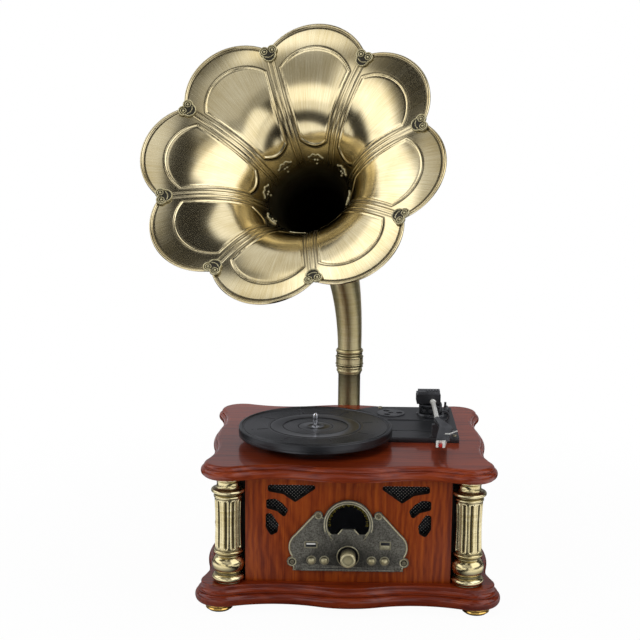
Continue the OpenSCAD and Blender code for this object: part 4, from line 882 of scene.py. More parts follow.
def makeBell():
    s = hornSpec
    count = s["columnsPerPetal"] * s["petals"]
    angles = fullTurn(count)
    local = (angles + math.radians(halfPetal)) % math.radians(2 * halfPetal) - math.radians(halfPetal)
    fine = np.linspace(flareRadius(s["throat"]), s["tipR"], 3000)
    run = np.concatenate([[0], np.cumsum(np.hypot(np.diff(fine), np.diff(flareDepth(fine))))])
    rim = rimRadius(local)
    edge = rim - s["rimBead"]
    ends = np.interp(edge, fine, run)
    steps = np.linspace(0, 1, s["rows"] + 1) ** 0.92
    r = np.interp(steps[:, None] * ends[None, :], run, fine)
    a = np.broadcast_to(angles, r.shape)
    rise, filmAndShade = pressing(r, np.broadcast_to(local, r.shape))
    rise = rise * np.clip(edge[None, :] - r, 0, 1)  # flat where the rim begins
    front = np.stack(onFace(r, a, rise), -1)
    back, out = flareNormal(rim)
    bead = []
    for turn in np.radians(np.linspace(150, -150, 13)):
        u, v = s["rimBead"] * math.cos(turn), s["rimBead"] * math.sin(turn) - s["wall"] / 2
        rr, z = rim + out * u + back * v, -flareDepth(rim) - back * u + out * v
        bead.append(np.stack([rr * np.cos(angles), rr * np.sin(angles), z], -1))
    back = np.r_[0:s["rows"]:s["rearEvery"], s["rows"]][::-1]  # the rear needs fewer rows
    rear = np.stack(onFace(r[back], a[back], rise[back] - s["wall"]), -1)
    points = np.concatenate([front, np.array(bead), rear])
    # the rear of the bell and the edges of the rim bead are darkened too: patina and painted shade
    rearFilmAndShade = 0.25 + 0.5 * filmAndShade[back]
    beadFilmAndShade = np.zeros((13, count))
    beadFilmAndShade[0], beadFilmAndShade[-1] = 0.7, 0.5
    filmsAndShade = np.concatenate([filmAndShade, beadFilmAndShade, rearFilmAndShade])
    rows = len(points)
    piece = meshPiece("bell_pressed", points.reshape(-1, 3), gridFaces(rows, count, True, True),
                      mouthPlace(s["roll"]))
    setPatinaAndShade(piece, filmsAndShade.reshape(-1))
    piece.data.transform(piece.matrix_world)  # the mesh itself stands where the horn is, so its box is true
    piece.matrix_world = Matrix()
    faceOut(piece)
    finishPiece(piece, "hornBrass", "horn", ["horn_bell"], creaseAt=55)


def smoothTube(name, rings, sides, finish, body, replaced, filmAndShade, place=None):
    faces = gridFaces(len(rings), sides, closeRows=True, closeColumns=True)
    piece = meshPiece(name, np.concatenate(rings), faces, place)
    setPatinaAndShade(piece, filmAndShade)
    tidyMesh(piece)
    return finishPiece(piece, finish, body, replaced, creaseAt=50)


def makeNeck():
    s = hornSpec
    depths = np.linspace(s["throat"], s["length"], 60)
    wall = 1.2
    inner = [(flareRadius(d), -d) for d in depths]
    outer = [(flareRadius(d) + wall, -d) for d in depths[::-1]]
    line = inner + outer
    points = lathePoints(line, 96)
    piece = meshPiece("neck_spun", points, gridFaces(len(line), 96, True, True), mouthPlace(s["roll"]))
    # painted shade deepening down the inside of the neck; its outside a little darker
    filmAndShade = list(np.clip(0.6 + (depths - s["throat"]) / 110, 0, 0.97)) + [0.25] * 60
    setPatinaAndShade(piece, np.repeat(filmAndShade, 96))
    tidyMesh(piece)
    joint = flareRadius(s["throat"] + 4) + wall + 1.4
    bead = [(joint + x, -s["throat"] - 4 + z) for x, z in bend(0, 0, 2.4, 0, 345, 23)]
    collar = lathe("neck_bead", bead, 96, mouthPlace(s["roll"]), closed=True)
    finishPiece(collar, "turnedBrass", "horn", creaseAt=50, filmAndShade=0.1)
    finishPiece(piece, "turnedBrass", "horn", ["horn_neck"], creaseAt=50)


def makeElbow():
    s = hornSpec
    lean = math.radians(90 - s["tilt"])
    rows, sides, wall, startR = 48, 72, 1.2, 17.0
    endR = flareRadius(s["length"]) + wall
    turn = fullTurn(sides)

    def ring(angle, down, radius):
        u = radius * np.cos(turn)
        c = s["elbowBend"] * (1 - math.cos(angle)) + u * math.cos(angle)
        height = s["elbowBend"] * math.sin(angle) - u * math.sin(angle) + down
        return np.stack([radius * np.sin(turn), -c, height], -1)

    stub = -9.4
    radii = [startR + (endR - startR) * (i / rows) ** 1.3 for i in range(rows + 1)]
    outer, inner = ([ring(0, stub, radii[0] - less)] + [
        ring(lean * i / rows, 0, radii[i] - less) for i in range(rows + 1)] for less in (0, wall))
    rings = outer + inner[::-1]
    place = at(0, s["tubeY"], s["bendZ"], -s["yaw"])
    # painted shade inside the bend; its outside a little darker
    filmAndShade = np.concatenate([np.full(len(outer) * sides, 0.12), np.full(len(inner) * sides, 0.95)])
    smoothTube("elbow_bent", rings, sides, "tubeBrass", "horn", ["horn_elbow"], filmAndShade, place)


def filmAndShadeByHeight(piece, hollows):  # darkening round these heights, in mm above the piece's place: patina and painted shade in the grooves
    zs = pointsOf(piece)[:, 2]
    setPatinaAndShade(piece, largest(0.08, *(near(zs - z, w) * 0.9 for z, w in hollows)))


def makeTube():
    s = hornSpec
    low = 229
    collar = [(17.2, 0), (18.9, 0.1)] + bend(18.8, 1.1, 0.9, -80, 80, 6)
    collar += [(17.9, 2.2), (17.5, 3.0), (17.7, 3.9), (19.2, 4.1)] + bend(19.4, 5.0, 0.9, -70, 60, 6)
    collar += [(19.5, 6.0), (19.5, 7.2), (19.5, 13.4), (19.5, 14.6)]
    collar += bend(19.4, 15.6, 0.9, -60, 70, 6) + [(19.2, 16.5), (17.7, 16.7), (17.4, 17.6), (17.7, 18.4)]
    collar += bend(17.9, 19.5, 1.0, -80, 80, 6) + [(17.3, 20.6), (17.2, 21.0)]
    collar += bend(16.6, 24.2, 3.1, -70, 75, 14) + [(17.5, 27.4), (17.4, 28.0), (17.05, 28.0)]
    collar += [(17.05, 17.1), (16.06, 17.1), (16.06, 0)]
    piece = lathe("collar_turned", collar, 96, at(0, s["tubeY"], low), closed=True)
    filmAndShadeByHeight(piece, ((3.0, 1.1), (6.1, 0.4), (14.5, 0.4), (17.6, 1.1), (20.9, 0.7), (27.4, 0.6)))
    finishPiece(piece, "tubeBrass", "horn", ["horn_collar"], creaseAt=45)
    # fixed bead under the collar, with a quirk above and below it
    tube = [(14.8, 144.5), (16.0, 144.5), (16.0, 219.2), (17.0, 220.0), (17.0, 220.8)]
    tube += bend(15.6, 224.75, 3.1, -62, 62, 14)
    tube += [(17.0, 228.6), (16.2, 228.7), (16.0, 228.8), (16.0, 245.8), (14.8, 245.8)]
    shaft = lathe("tube_drawn", tube, 96, at(0, s["tubeY"], 0), closed=True)
    filmAndShadeByHeight(shaft, ((219.6, 1.0), (228.7, 0.8), (221.2, 0.6)))
    finishPiece(shaft, "tubeBrass", "case", ["horn_tube"], creaseAt=45)
    # quarter bend to the rear panel and its turned flange
    bendR, flangeZ, sides = 39.5, 105, 64
    turn = fullTurn(sides)

    def ring(angle, radius):
        c, u = math.radians(angle), radius * np.cos(turn)
        y = s["tubeY"] - bendR + (bendR + u) * math.cos(c)
        z = flangeZ + bendR - (bendR + u) * math.sin(c)
        return np.stack([radius * np.sin(turn), y, z], -1)

    outer = [ring(a, 16) for a in np.linspace(90, 0, 33)]
    inner = [ring(a, 14.8) for a in np.linspace(0, 90, 33)]
    smoothTube("bracket_bent", outer + inner, sides, "turnedBrass", "case", ["tube_bracket"], 0.12)
    rim = [(14.8, 0), (30, 0)] + bend(29.2, 1.6, 0.8, 0, 90, 4) + [(27, 2.6)]
    rim += bend(25.6, 3.6, 1.4, -30, 120, 8) + [(22, 4.6), (19.4, 4.9)]
    rim += bend(18.2, 5.6, 1.0, -40, 100, 6) + [(16.2, 6.4), (14.8, 6.4)]
    rearFace = 141.5
    plate = lathe("flange_turned", rim, 96, at(0, rearFace, flangeZ) @ spin(-90, "X"), closed=True)
    filmAndShadeByHeight(plate, ((2.4, 0.6), (4.4, 0.6)))
    finishPiece(plate, "turnedBrass", "case", creaseAt=45)


# Medallions in the notches: two round eyes and a leaf, raised lines on a ground darkened with patina and
# painted shade
medallionSpec = {"in": 2.5, "eye": (2.6, 5.1), "eyeR": 6.6, "leaf": (-3.2, 8.9), "low": 0.1, "thick": 2.9,
                 "relief": 1.6}


def makeMedallions(spec):
    turns, rows = 144, 40
    angle = fullTurn(turns)
    ex, ey = spec["eye"]
    circles = [(ex, ey, spec["eyeR"]), (ex, -ey, spec["eyeR"]), (spec["leaf"][0], 0, spec["leaf"][1])]
    outline = np.zeros(turns)
    for cx, cy, r in circles:  # farthest hit of each direction with the circles
        along = cx * np.cos(angle) + cy * np.sin(angle)
        rest = r ** 2 - (cx ** 2 + cy ** 2 - along ** 2)
        outline = np.maximum(outline, np.where(rest > 0, along + np.sqrt(np.maximum(rest, 0)), 0))
    share = np.linspace(0.02, 1, rows)
    rr = share[:, None] * outline[None, :]
    x, y = rr * np.cos(angle), rr * np.sin(angle)
    edge = largest(*(r - np.hypot(x - cx, y - cy) for cx, cy, r in circles))
    raised = largest(ridge(edge - 0.8, 1.1), 0.7 * ridge(np.hypot(x - ex, y) - 8.6, 0.8) * (x < -3.6))
    for cy in (ey, -ey):  # a ring and a bead in each eye
        d = np.hypot(x - ex, y - cy)
        raised = largest(raised, 0.8 * ridge(d - 3.5, 0.75), np.clip(1.2 - (d / 1.6) ** 2, 0, 1.1))
    height = spec["low"] + spec["thick"] - 1.1 + raised * spec["relief"]
    filmAndShade = np.clip(1 - raised * 2.2, 0, 1) * 0.98
    top = np.stack([x, y, height], -1).reshape(-1, 3)
    skirt = np.stack([x[-1], y[-1], np.full(turns, spec["low"])], -1)
    centre = np.array([[0, 0, height[0].mean()]])
    points = np.concatenate([top, skirt, centre])
    faces = gridFaces(rows + 1, turns, closeColumns=True)
    last = len(points) - 1
    faces += [(last, (j + 1) % turns, j) for j in range(turns)]
    faces.append(tuple(range(rows * turns, (rows + 1) * turns)))
    values = np.concatenate([filmAndShade.reshape(-1), np.full(turns, 0.6), [0.9]])
    lean = math.atan(hornSpec["flareK"] / (hornSpec["notchR"] + hornSpec["flareC"]) ** 2)
    for i in range(hornSpec["petals"]):
        turn = spin(halfPetal * (2 * i + 1))
        shift = at(hornSpec["notchR"] - spec["in"], 0, 0)
        place = mouthPlace(hornSpec["roll"]) @ turn @ shift @ Matrix.Rotation(-lean, 4, "Y")
        piece = meshPiece("medallion_%d" % (i + 1), points, faces, place)
        setPatinaAndShade(piece, values)
        faceOut(piece)
        finishPiece(piece, "controlBrass", "horn", ["horn_medallions"], creaseAt=60)


# Small wavy brackets that close the panels at the throat, each with three buds under it
bracketSpec = {"wire": 1.0,
               "line": ((54.9, 10.6), (55.0, 8.6), (56.2, 6.2), (57.4, 3.8), (57.3, 1.8), (56.6, 0)),
               "buds": ((54.0, 1.9, 1.5), (54.0, -1.9, 1.5), (51.6, 0, 1.3))}


def makeBrackets(spec):
    line = [(x, -y) for x, y in spec["line"]] + [(x, y) for x, y in spec["line"][-2::-1]]
    line = evenPath([(x, y, 0) for x, y in line], 0.7, closed=False)
    r, a = np.hypot(line[:, 0], line[:, 1]), np.arctan2(line[:, 1], line[:, 0])
    path = np.stack(onFace(r, a, 0.5), -1)
    back, out = flareNormal(r)
    ups = np.stack([back * np.cos(a), back * np.sin(a), out], -1)
    section = [(spec["wire"] * math.cos(t), spec["wire"] * math.sin(t))
               for t in np.linspace(0, 2 * math.pi, 10)[:-1]]
    for i in range(hornSpec["petals"]):
        place = mouthPlace(hornSpec["roll"] + 2 * halfPetal * i)
        parts = [sweep("wire", path, section, ups, closed=False, place=place)]
        for x, y, size in spec["buds"]:
            bx, by, bz = onFace(math.hypot(x, y), math.atan2(y, x), 0.3)
            bud = [(size * math.cos(t), 1.2 * math.sin(t)) for t in np.linspace(-1.4, 1.4, 9)]
            parts.append(lathe("bud", [(0, -1.2)] + bud + [(0, 1.2)], 20, place @ at(bx, by, bz)))
        piece = joined("bracket_%d" % (i + 1), parts, place)
        finishPiece(piece, "controlBrass", "horn", creaseAt=60)


finishes["hornBrass"] = brushedBrass("antiqueBrassBrushed", brassLook["horn"], mouthPlace(hornSpec["roll"]))
makeBell()
print("bell pressed")
makeNeck()
makeElbow()
makeTube()
makeMedallions(medallionSpec)
makeBrackets(bracketSpec)
print("horn built")

# Grilles: black perforated sheet behind the cut-outs, with a pressed nib between each four holes, drawn light
# as a painted glint
grilleSpec = {"outline": ((-107.5, 83), (-70, 83), (-70, 105), (-38, 128), (-38, 156), (-107.5, 156)),
              "front": -129.5, "thick": 0.8, "pitch": 3.1, "hole": 0.95, "sides": 12, "nib": (0.62, 0.4),
              "start": (-112, 82), "span": 90}


def insideOutline(x, z, outline):
    inside = False
    for i, (ax, az) in enumerate(outline):
        bx, bz = outline[i - 1]
        if (az > z) != (bz > z) and x < (bx - ax) * (z - az) / (bz - az) + ax:
            inside = not inside
    return inside


def makeGrille(spec, side, node):
    pitch, sides = spec["pitch"], spec["sides"]
    turn = fullTurn(sides)
    slant = turn - math.pi / 4  # square cells stand on their corners
    reach = pitch / 2 / np.maximum(np.abs(np.cos(slant)), np.abs(np.sin(slant)))
    outer = np.column_stack([reach * np.cos(turn), reach * np.sin(turn)])
    hole = spec["hole"] * np.column_stack([np.cos(turn), np.sin(turn)])
    points, faces, nibPoints, nibFaces = [], [], [], []
    step = pitch / math.sqrt(2)
    nibR, nibHigh = spec["nib"]
    for row in range(int(spec["span"] / step)):
        z = spec["start"][1] + row * step
        for column in range(int(spec["span"] / step / 2)):
            x = spec["start"][0] + (2 * column + row % 2) * step
            if not all(insideOutline(x + dx, z + dz, spec["outline"]) for dx, dz in outer * 0.9):
                continue
            first = len(nibPoints)
            for share, high in ((1.0, -0.1), (0.9, 0.45), (0.55, 0.85)):
                nibPoints += [(side * (x + step + nibR * share * math.cos(a)), spec["front"] - nibHigh * high,
                               z + nibR * share * math.sin(a)) for a in turn[::2] + 0.2]
            nibPoints.append((side * (x + step), spec["front"] - nibHigh, z))
            ring = sides // 2
            nibFaces += [tuple(first + k for k in face) for face in gridFaces(3, ring, closeColumns=True)]
            nibFaces += [(first + 2 * ring + k, first + 2 * ring + (k + 1) % ring, first + 3 * ring)
                         for k in range(ring)]
            nibFaces.append(tuple(first + k for k in range(ring)))
            first = len(points)
            for ring, deep in ((outer, spec["thick"]), (outer, 0), (hole * 1.12, 0), (hole, 0.15),
                               (hole, spec["thick"])):
                points += [(side * (x + dx), spec["front"] + deep, z + dz) for dx, dz in ring]
            faces += [tuple(first + k for k in face) for face in gridFaces(5, sides, True, True)]
    piece = meshPiece(node + "_punched", points, faces)
    work = openMesh(piece.data)
    bmesh.ops.remove_doubles(work, verts=work.verts, dist=0.02 * mm)
    # walls between two cells
    shared = [f for f in work.faces if abs(f.normal.y) < 0.1 and any(len(e.link_faces) > 2 for e in f.edges)
              and all(len(e.link_faces) > 2 for e in f.edges if e.calc_length() > 0.5 * mm)]
    bmesh.ops.delete(work, geom=shared, context="FACES_ONLY")
    bmesh.ops.recalc_face_normals(work, faces=work.faces)
    closeMesh(work, piece.data)
    finishPiece(piece, "blackPaintAndShade", "case", [node], creaseAt=35)
    nibs = meshPiece(node + "_nibs", nibPoints, nibFaces)
    faceOut(nibs)
    finishPiece(nibs, "paintedGlint", "case", creaseAt=60)


makeGrille(grilleSpec, 1, "grille_left")
makeGrille(grilleSpec, -1, "grille_right")
print("grilles punched")

# Control plate: pewter casting with a raised rim, a double ring round the dial and raised port frames
plateSpec = {"face": -144.5, "rimIn": 1.4, "rim": (1.9, 1.0), "lugs": ((69.8, 52.9, 6.5), (37.3, 113.3, 5.5)),
             "dialZ": 102.3, "rings": ((29.9, 3.1, 2.6), (27.2, 1.7, 1.6)), "ringEnd": -47,
             "knobZ": 60.3, "wellR": 12.7, "wellIn": 1.4, "buttonZ": 55.2,
             "buttonXs": (-45.7, -29.5, 29.5, 45.7), "dialR": 32.6, "plinthZ": 44.5,
             "ports": ((-46.3, 75.4, 6.6, 2.9), (46.3, 75.4, 5.4, 3.8))}


def plateFilmAndShade(piece, spec):  # darkening beside every raised part, patina and painted shade; painted shade on faces set back behind the plate's face
    x, y, z = pointsOf(piece).T
    setPatinaAndShade(piece, largest(
        near(np.hypot(x, z - spec["dialZ"]) - spec["dialR"], 1.0) * 0.7,
        near(np.hypot(x, z - spec["knobZ"]) - spec["wellR"], 1.0) * 0.8,
        *(near(np.hypot(x - bx, z - spec["buttonZ"]) - 5.0, 0.8) * 0.7 for bx in spec["buttonXs"]),
        *(near(np.hypot(np.abs(x) - lug[0], z - lug[1]) - 3.1, 0.9) * 0.95 for lug in spec["lugs"]),
        np.where(y > spec["face"] + 0.6, 0.6, 0)))


def makePlate(spec):
    face = spec["face"]
    plate = softCopy("control_plate", 0.45, turn=40)
    plateFilmAndShade(plate, spec)
    finishPiece(plate, "pewter", "case", ["control_plate"], creaseAt=35)
    # raised rim along the edge of the plate, in the lighter pewter: painted highlight
    loops = [np.array(l) for l in backLoops("control_plate", 1, -141.5)]
    loop = max(loops, key=lambda l: np.ptp(l[:, 0]))
    loop = evenPath(loop, 1.0)
    middle = np.roll(loop, -2, 0) - np.roll(loop, 2, 0)
    middle /= np.linalg.norm(middle, axis=1)[:, None]
    inward = np.column_stack([-middle[:, 2], np.zeros(len(loop)), middle[:, 0]])
    probe = loop + inward * 2
    if np.ptp(probe[:, 0]) > np.ptp(loop[:, 0]):
        inward = -inward
    path = loop + inward * spec["rimIn"]
    path[:, 1] = face - 0.05
    lift = np.ones(len(path))  # how high the rim stands, from point to point
    for lx, lz, lr in spec["lugs"]:
        toLug = np.hypot(np.abs(path[:, 0]) - lx, path[:, 2] - lz)
        lift = np.minimum(lift, np.clip((toLug - lr + 1.8) / 3, 0.15, 1))
    lift[np.hypot(path[:, 0], path[:, 2] - spec["dialZ"]) < spec["dialR"]] = 0.12
    lift[path[:, 2] < spec["plinthZ"]] = 0.4
    pieces = [sweep("rim", path, halfRound(*spec["rim"]), (0, -1, 0), scales=lift)]
    # two rings round the dial that thin out below it
    for radius, wide, high in spec["rings"]:
        ends = np.radians(np.linspace(spec["ringEnd"], 180 - spec["ringEnd"], 140))
        ring = np.column_stack([radius * np.cos(ends), np.full(140, face - (0.1 if radius > 28 else 1.0)),
                                spec["dialZ"] + radius * np.sin(ends)])
        taper = np.clip(np.minimum(np.arange(140), np.arange(139, -1, -1)) / 16, 0.05, 1) ** 0.7
        pieces.append(sweep("ring", ring, halfRound(wide, high, 12), (0, -1, 0), closed=False, scales=taper))
    # bevels along the window's lower edge, light as a painted highlight
    for sx in (-1, 1):
        for a, b in (((7.3, 96.0), (12.9, 89.4)), ((21.6, 88.4), (24.6, 92.6))):
            line = [(sx * a[0], face - 0.1, a[1]), (sx * (a[0] + b[0]) / 2, face - 0.1, (a[1] + b[1]) / 2),
                    (sx * b[0], face - 0.1, b[1])]
            pieces.append(sweep("bevel", evenPath(line, 0.8, closed=False), halfRound(1.5, 0.5), (0, -1, 0),
                                closed=False))
    # rim, rings and bevels are drawn in the lighter pewter: painted highlight
    bright = joined("plate_rim", pieces)
    finishPiece(bright, "highlightPewter", "case", creaseAt=50, filmAndShade=0.0)
    # frames of the two ports, collars of the buttons, ring in the knob's well, in the lighter pewter: painted
    # highlight
    parts = []
    for x, z, halfWide, halfHigh in spec["ports"]:
        w, h = halfWide + 0.9, halfHigh + 0.9
        corners = [(x - w, face, z - h), (x + w, face, z - h), (x + w, face, z + h), (x - w, face, z + h)]
        parts.append(sweep("frame", evenPath(corners, 0.6), halfRound(1.5, 0.6), (0, -1, 0)))
    for x in spec["buttonXs"]:
        parts.append(lathe("collar", [(4.75, 0), (4.75, 0.5), (5.3, 0.75), (5.9, 0.5), (6.1, 0)], 48,
                           facingFront(x, face, spec["buttonZ"]), closed=True))
    parts.append(lathe("wellRing", [(12.75, -0.2), (12.9, 0.5), (13.7, 0.6), (14.3, 0)], 96,
                       facingFront(0, face, spec["knobZ"]), closed=True))
    trims = joined("plate_trims", parts)
    finishPiece(trims, "highlightPewter", "case", filmAndShade=0.45)
    # each lug: a light raised ring as painted highlight round a black hollow as painted shade
    lugRings, lugWells = [], []
    for lx, lz, lr in spec["lugs"]:
        for x in (-lx, lx):
            spot = facingFront(x, face, lz)
            ring = [(lr - 2.6, 0), (lr - 2.3, 0.8), (lr - 1.5, 1.0), (lr - 0.9, 0)]
            floor = [(lr - 4.1, 0), (lr - 4.1, 0.25), (lr - 2.5, 0.25), (lr - 2.5, 0)]
            lugRings.append(lathe("lugRing", ring, 40, spot, closed=True))
            lugWells.append(lathe("lugWell", floor, 40, spot, closed=True))
    for name, parts, finish in (("lug_rings", lugRings, "highlightPewter"), ("lug_wells", lugWells, "blackPaintAndShade")):
        finishPiece(joined(name, parts), finish, "case", filmAndShade=0.1)
    # the knob's well is drawn black: painted shade
    well = lathe("wellStep", [(10.5, 0), (10.5, 1.0), (11.0, 1.25), (11.6, 1.25), (12.0, 0.9), (12.2, 0)], 96,
                 facingFront(0, face + spec["wellIn"], spec["knobZ"]), closed=True)
    finishPiece(well, "blackPaintAndShade", "case", filmAndShade=0.0)
    # what shows in the ports: a white tongue over a black gap, a black slot over a light card guide; the
    # black gaps are painted shade in the openings, the light guide a painted highlight
    (ux, uz, uw, uh), (cx, cz, cw, ch) = spec["ports"]
    for name, look, slot, left, right, front, rear, low, high in (
            ("usb_gap", "armAbs", "black_plastic", ux - uw, ux + uw, 0.5, 0.9, uz - uh, uz + uh),
            ("usb_tongue", "whiteAbs", "white_plastic", ux - uw + 1, ux + uw - 1, 0.1, 0.6, uz, uz + 2),
            ("card_gap", "armAbs", "black_plastic", cx - cw, cx + cw, 0.3, 0.8, cz, cz + ch),
            ("card_guide", "highlightPewter", "pewter", cx - cw, cx + cw, 0.2, 0.8, cz - ch, cz)):
        block = boxPiece(name, (left, face + front, low), (right, face + rear, high), 0.15)
        finishPiece(block, look, "case")
    # dark joint line above the plinth, with a small block at each end
    groove = boxPiece("plinth_groove", (-50, face - 0.12, 44.3), (50, face + 0.2, 45.0), 0.1)
    finishPiece(groove, "armAbs", "case")
    blocks = [boxPiece("block", (x - 3.6, face - 0.9, 42.2), (x + 3.6, face + 0.2, 49.5), 0.7)
              for x in (-62, 62)]
    finishPiece(joined("plinth_blocks", blocks), "pewter", "case", filmAndShade=0.1)


makePlate(plateSpec)
print("control plate cast")

# Dial: marks and numbers of a plain scale on the black face
dialSpec = {"face": -140.5, "z": 102.3, "inner": 22.2, "outer": 24.6, "from": 186, "to": -6, "ticks": 49,
            "digit": (1.7, 2.6)}
digitStrokes = {  # corners of a seven-stroke figure: 0 1 across the top, 2 3 the middle, 4 5 the bottom
    "0": (0, 1, 5, 4, 0), "1": (1, 5), "2": (0, 1, 3, 2, 4, 5), "3": (0, 1, 5, 4, 5, 3, 2),
    "4": (0, 2, 3, 1, 5), "5": (1, 0, 2, 3, 5, 4), "6": (1, 0, 4, 5, 3, 2), "7": (0, 1, 5),
    "8": (0, 1, 5, 4, 0, 2, 3), "9": (5, 1, 0, 2, 3),
}


def flatStroke(a, b, width):  # corners of a thin bar from a to b
    a, b = np.array(a, float), np.array(b, float)
    along = (b - a) / max(np.linalg.norm(b - a), 1e-6) * width / 2
    side = np.array([-along[1], along[0]])
    return [a - along - side, b + along - side, b + along + side, a - along + side]


def makeDial(spec):
    bars = []
    wide, high = spec["digit"]
    corners = [(x * wide / 2, z * high / 2) for z in (1, 0, -1) for x in (-1, 1)]
    for i in range(spec["ticks"]):
        turn = math.radians(spec["from"] + (spec["to"] - spec["from"]) * i / (spec["ticks"] - 1))
        c, sine = math.cos(turn), math.sin(turn)
        if i % 4 == 0:
            strokes = digitStrokes[str((i // 4) % 10)]
            middle = (spec["inner"] + spec["outer"]) / 2
            ends = [((middle + rise) * c + along * sine, (middle + rise) * sine - along * c)
                    for along, rise in (corners[k] for k in strokes)]
            bars += [flatStroke(a, b, 0.5) for a, b in zip(ends, ends[1:])]
        else:
            inner = spec["inner"] + (0.4 if i % 2 == 0 else 1.1)
            outer = spec["outer"]
            bars.append(flatStroke((inner * c, inner * sine), (outer * c, outer * sine), 0.42))
    points, faces = [], []
    for bar in bars:
        first = len(points)
        points += [(x, spec["face"] - 0.12, spec["z"] + z) for x, z in bar]
        points += [(x, spec["face"] + 0.02, spec["z"] + z) for x, z in bar]
        faces += [tuple(first + k for k in face) for face in (
            (0, 1, 2, 3), (7, 6, 5, 4), (0, 4, 5, 1), (1, 5, 6, 2), (2, 6, 7, 3), (3, 7, 4, 0))]
    marks = meshPiece("dial_marks", points, faces)
    tidyMesh(marks)
    finishPiece(marks, "yellowInk", "case", creaseAt=None)


makeDial(dialSpec)
print("dial marked")


def dress(node, finish):  # a CAD node whose shape is right keeps it and gets the finish
    for place in nodes[node].material_slots:
        place.material = finishes[finish]


# Knob and buttons
knobSpec = {"rear": -142.8, "z": 60.3, "radius": 9.6, "length": 17.5}


def makeKnob(spec):
    r, h = spec["radius"], spec["length"]
    profile = [(0, 0.3), (r - 0.4, 0.3), (r, 0.8), (r, 3.0), (r - 0.25, 3.3), (r - 0.25, 3.8), (r, 4.1)]
    profile.append((r, h - 3.4))
    profile += bend(r - 1.6, h - 2.0, 1.6, 0, 78, 8) + [(r - 1.9, h - 0.15), (r - 2.6, h), (r - 3.1, h - 0.2)]
    profile += [(r - 3.4, h - 0.7), (3.0, h - 0.55), (0, h - 0.5)]
    place = facingFront(0, spec["rear"], spec["z"])
    cap = lathe("knob_turned", profile, 96, place)
    xs, ys, zs = pointsOf(cap).T
    # a dark line in the front groove, patina and painted shade, and painted shade on the rear of the knob
    # towards the plate
    lip = near(np.hypot(xs, ys) - (r - 3.3), 0.5) * (zs > h - 2) * 0.45
    setPatinaAndShade(cap, largest(lip, np.clip((12 - zs) / 9, 0, 0.85)))
    shaft = lathe("shaft", [(0, -12), (3, -12), (3, 0.5), (0, 0.5)], 48, place)
    setPatinaAndShade(shaft, 0.2)
    piece = joined("knob_soft", [cap, shaft], place)
    finishPiece(piece, "controlBrass", "knob", ["volume_knob"], creaseAt=45)


makeKnob(knobSpec)
for i, x in enumerate(plateSpec["buttonXs"]):
    button = softCopy("button_%d" % (i + 1), 0.35, turn=25)
    xs, ys, zs = pointsOf(button).T
    lifts = zs - plateSpec["buttonZ"]
    # a darker ring round each button and a darker upper part: painted shade of its recess
    filmAndShade = largest(near(np.hypot(xs - x, lifts) - 4.4, 0.6) * 0.7, np.clip((lifts - 1.6) / 2.4, 0, 0.8))
    setPatinaAndShade(button, np.where(ys > -145.2, 0.7, filmAndShade))  # painted shade behind the plate's face
    finishPiece(button, "controlBrass", "button_%d" % (i + 1), ["button_%d" % (i + 1)])
print("controls turned")

# Deck, platter and tonearm
softParts = (  # node, finish, body, slot, edge radius in mm
    ("deck_plate", "deckAbs", "case", "black_plastic", 0.5),
    ("arm_base", "armAbs", "case", "black_plastic", 0.4),
    ("arm_rest", "armAbs", "case", "black_plastic", 0.4),
    ("arm_turret", "armAbs", "turret", "black_plastic", 0.4),
    ("arm_block", "armAbs", "tonearm", "black_plastic", 0.7),
    ("headshell", "shellAbs", "tonearm", "black_plastic", 0.6),
    ("cartridge", "whiteAbs", "tonearm", "white_plastic", 0.35),
    ("stylus", "redAbs", "tonearm", "red_plastic", 0.12),
    ("finger_lift", "anodised", "tonearm", "arm_metal", 0.2),
    ("cue_lever", "greyAbs", "cue_lever", "grey_plastic", 0.4),
    ("lift_bar", "armAbs", "lift_bar", "black_plastic", 0.3),
    ("arm_clip", "armAbs", "arm_clip", "black_plastic", 0.25),
    ("adapter_45", "greyAbs", "adapter", "black_plastic", 0.5),
    ("screws", "agedSteel", "case", "aged_steel", 0.15),
    ("card_slot", "deckAbs", "case", "black_plastic", 0.2),
    ("terminal_plate", "deckAbs", "case", "black_plastic", 0.3),
    ("audio_jacks", "gilt", "case", "gilt", 0.2),
    ("power_inlet", "armAbs", "case", "black_plastic", 0.3),
    ("switch_housing", "armAbs", "case", "black_plastic", 0.25),
    ("power_switch", "platterAbs", "rocker", "black_plastic", 0.4),
    ("speaker_left", "deckAbs", "case", "driver_black", 0.4),
    ("speaker_right", "deckAbs", "case", "driver_black", 0.4),
    ("horn_driver", "deckAbs", "case", "driver_black", 0.6),
    ("power_supply", "armAbs", "case", "driver_black", 0.8),
    ("motor_pulley", "gilt", "pulley", "gilt", 0.15),
)
for node, finish, body, slot, width in softParts:
    turn = 32 if node == "deck_plate" else 30  # sharper than this, an edge is rounded
    finishPiece(softCopy(node, width, turn), finish, body, [node], creaseAt=30)
for node, finish in (("dial_lens", "clearLens"), ("dial_face", "dialInk"), ("usb_port", "chrome"),
                     ("control_board", "laminate"), ("volume_pot", "plainSteel"), ("motor", "plainSteel"),
                     ("drive_belt", "rubber"), ("spindle", "chrome"), ("arm_tube", "anodised")):
    dress(node, finish)
print("soft parts made")

platterSpec = {"place": (-44, -37, 189.2), "radius": 100, "thick": 11.7, "drive": 60, "bore": 5.05, "hub": 10,
               "web": 8, "faceDown": 1.0, "wellDown": 1.6, "dashes": 8}


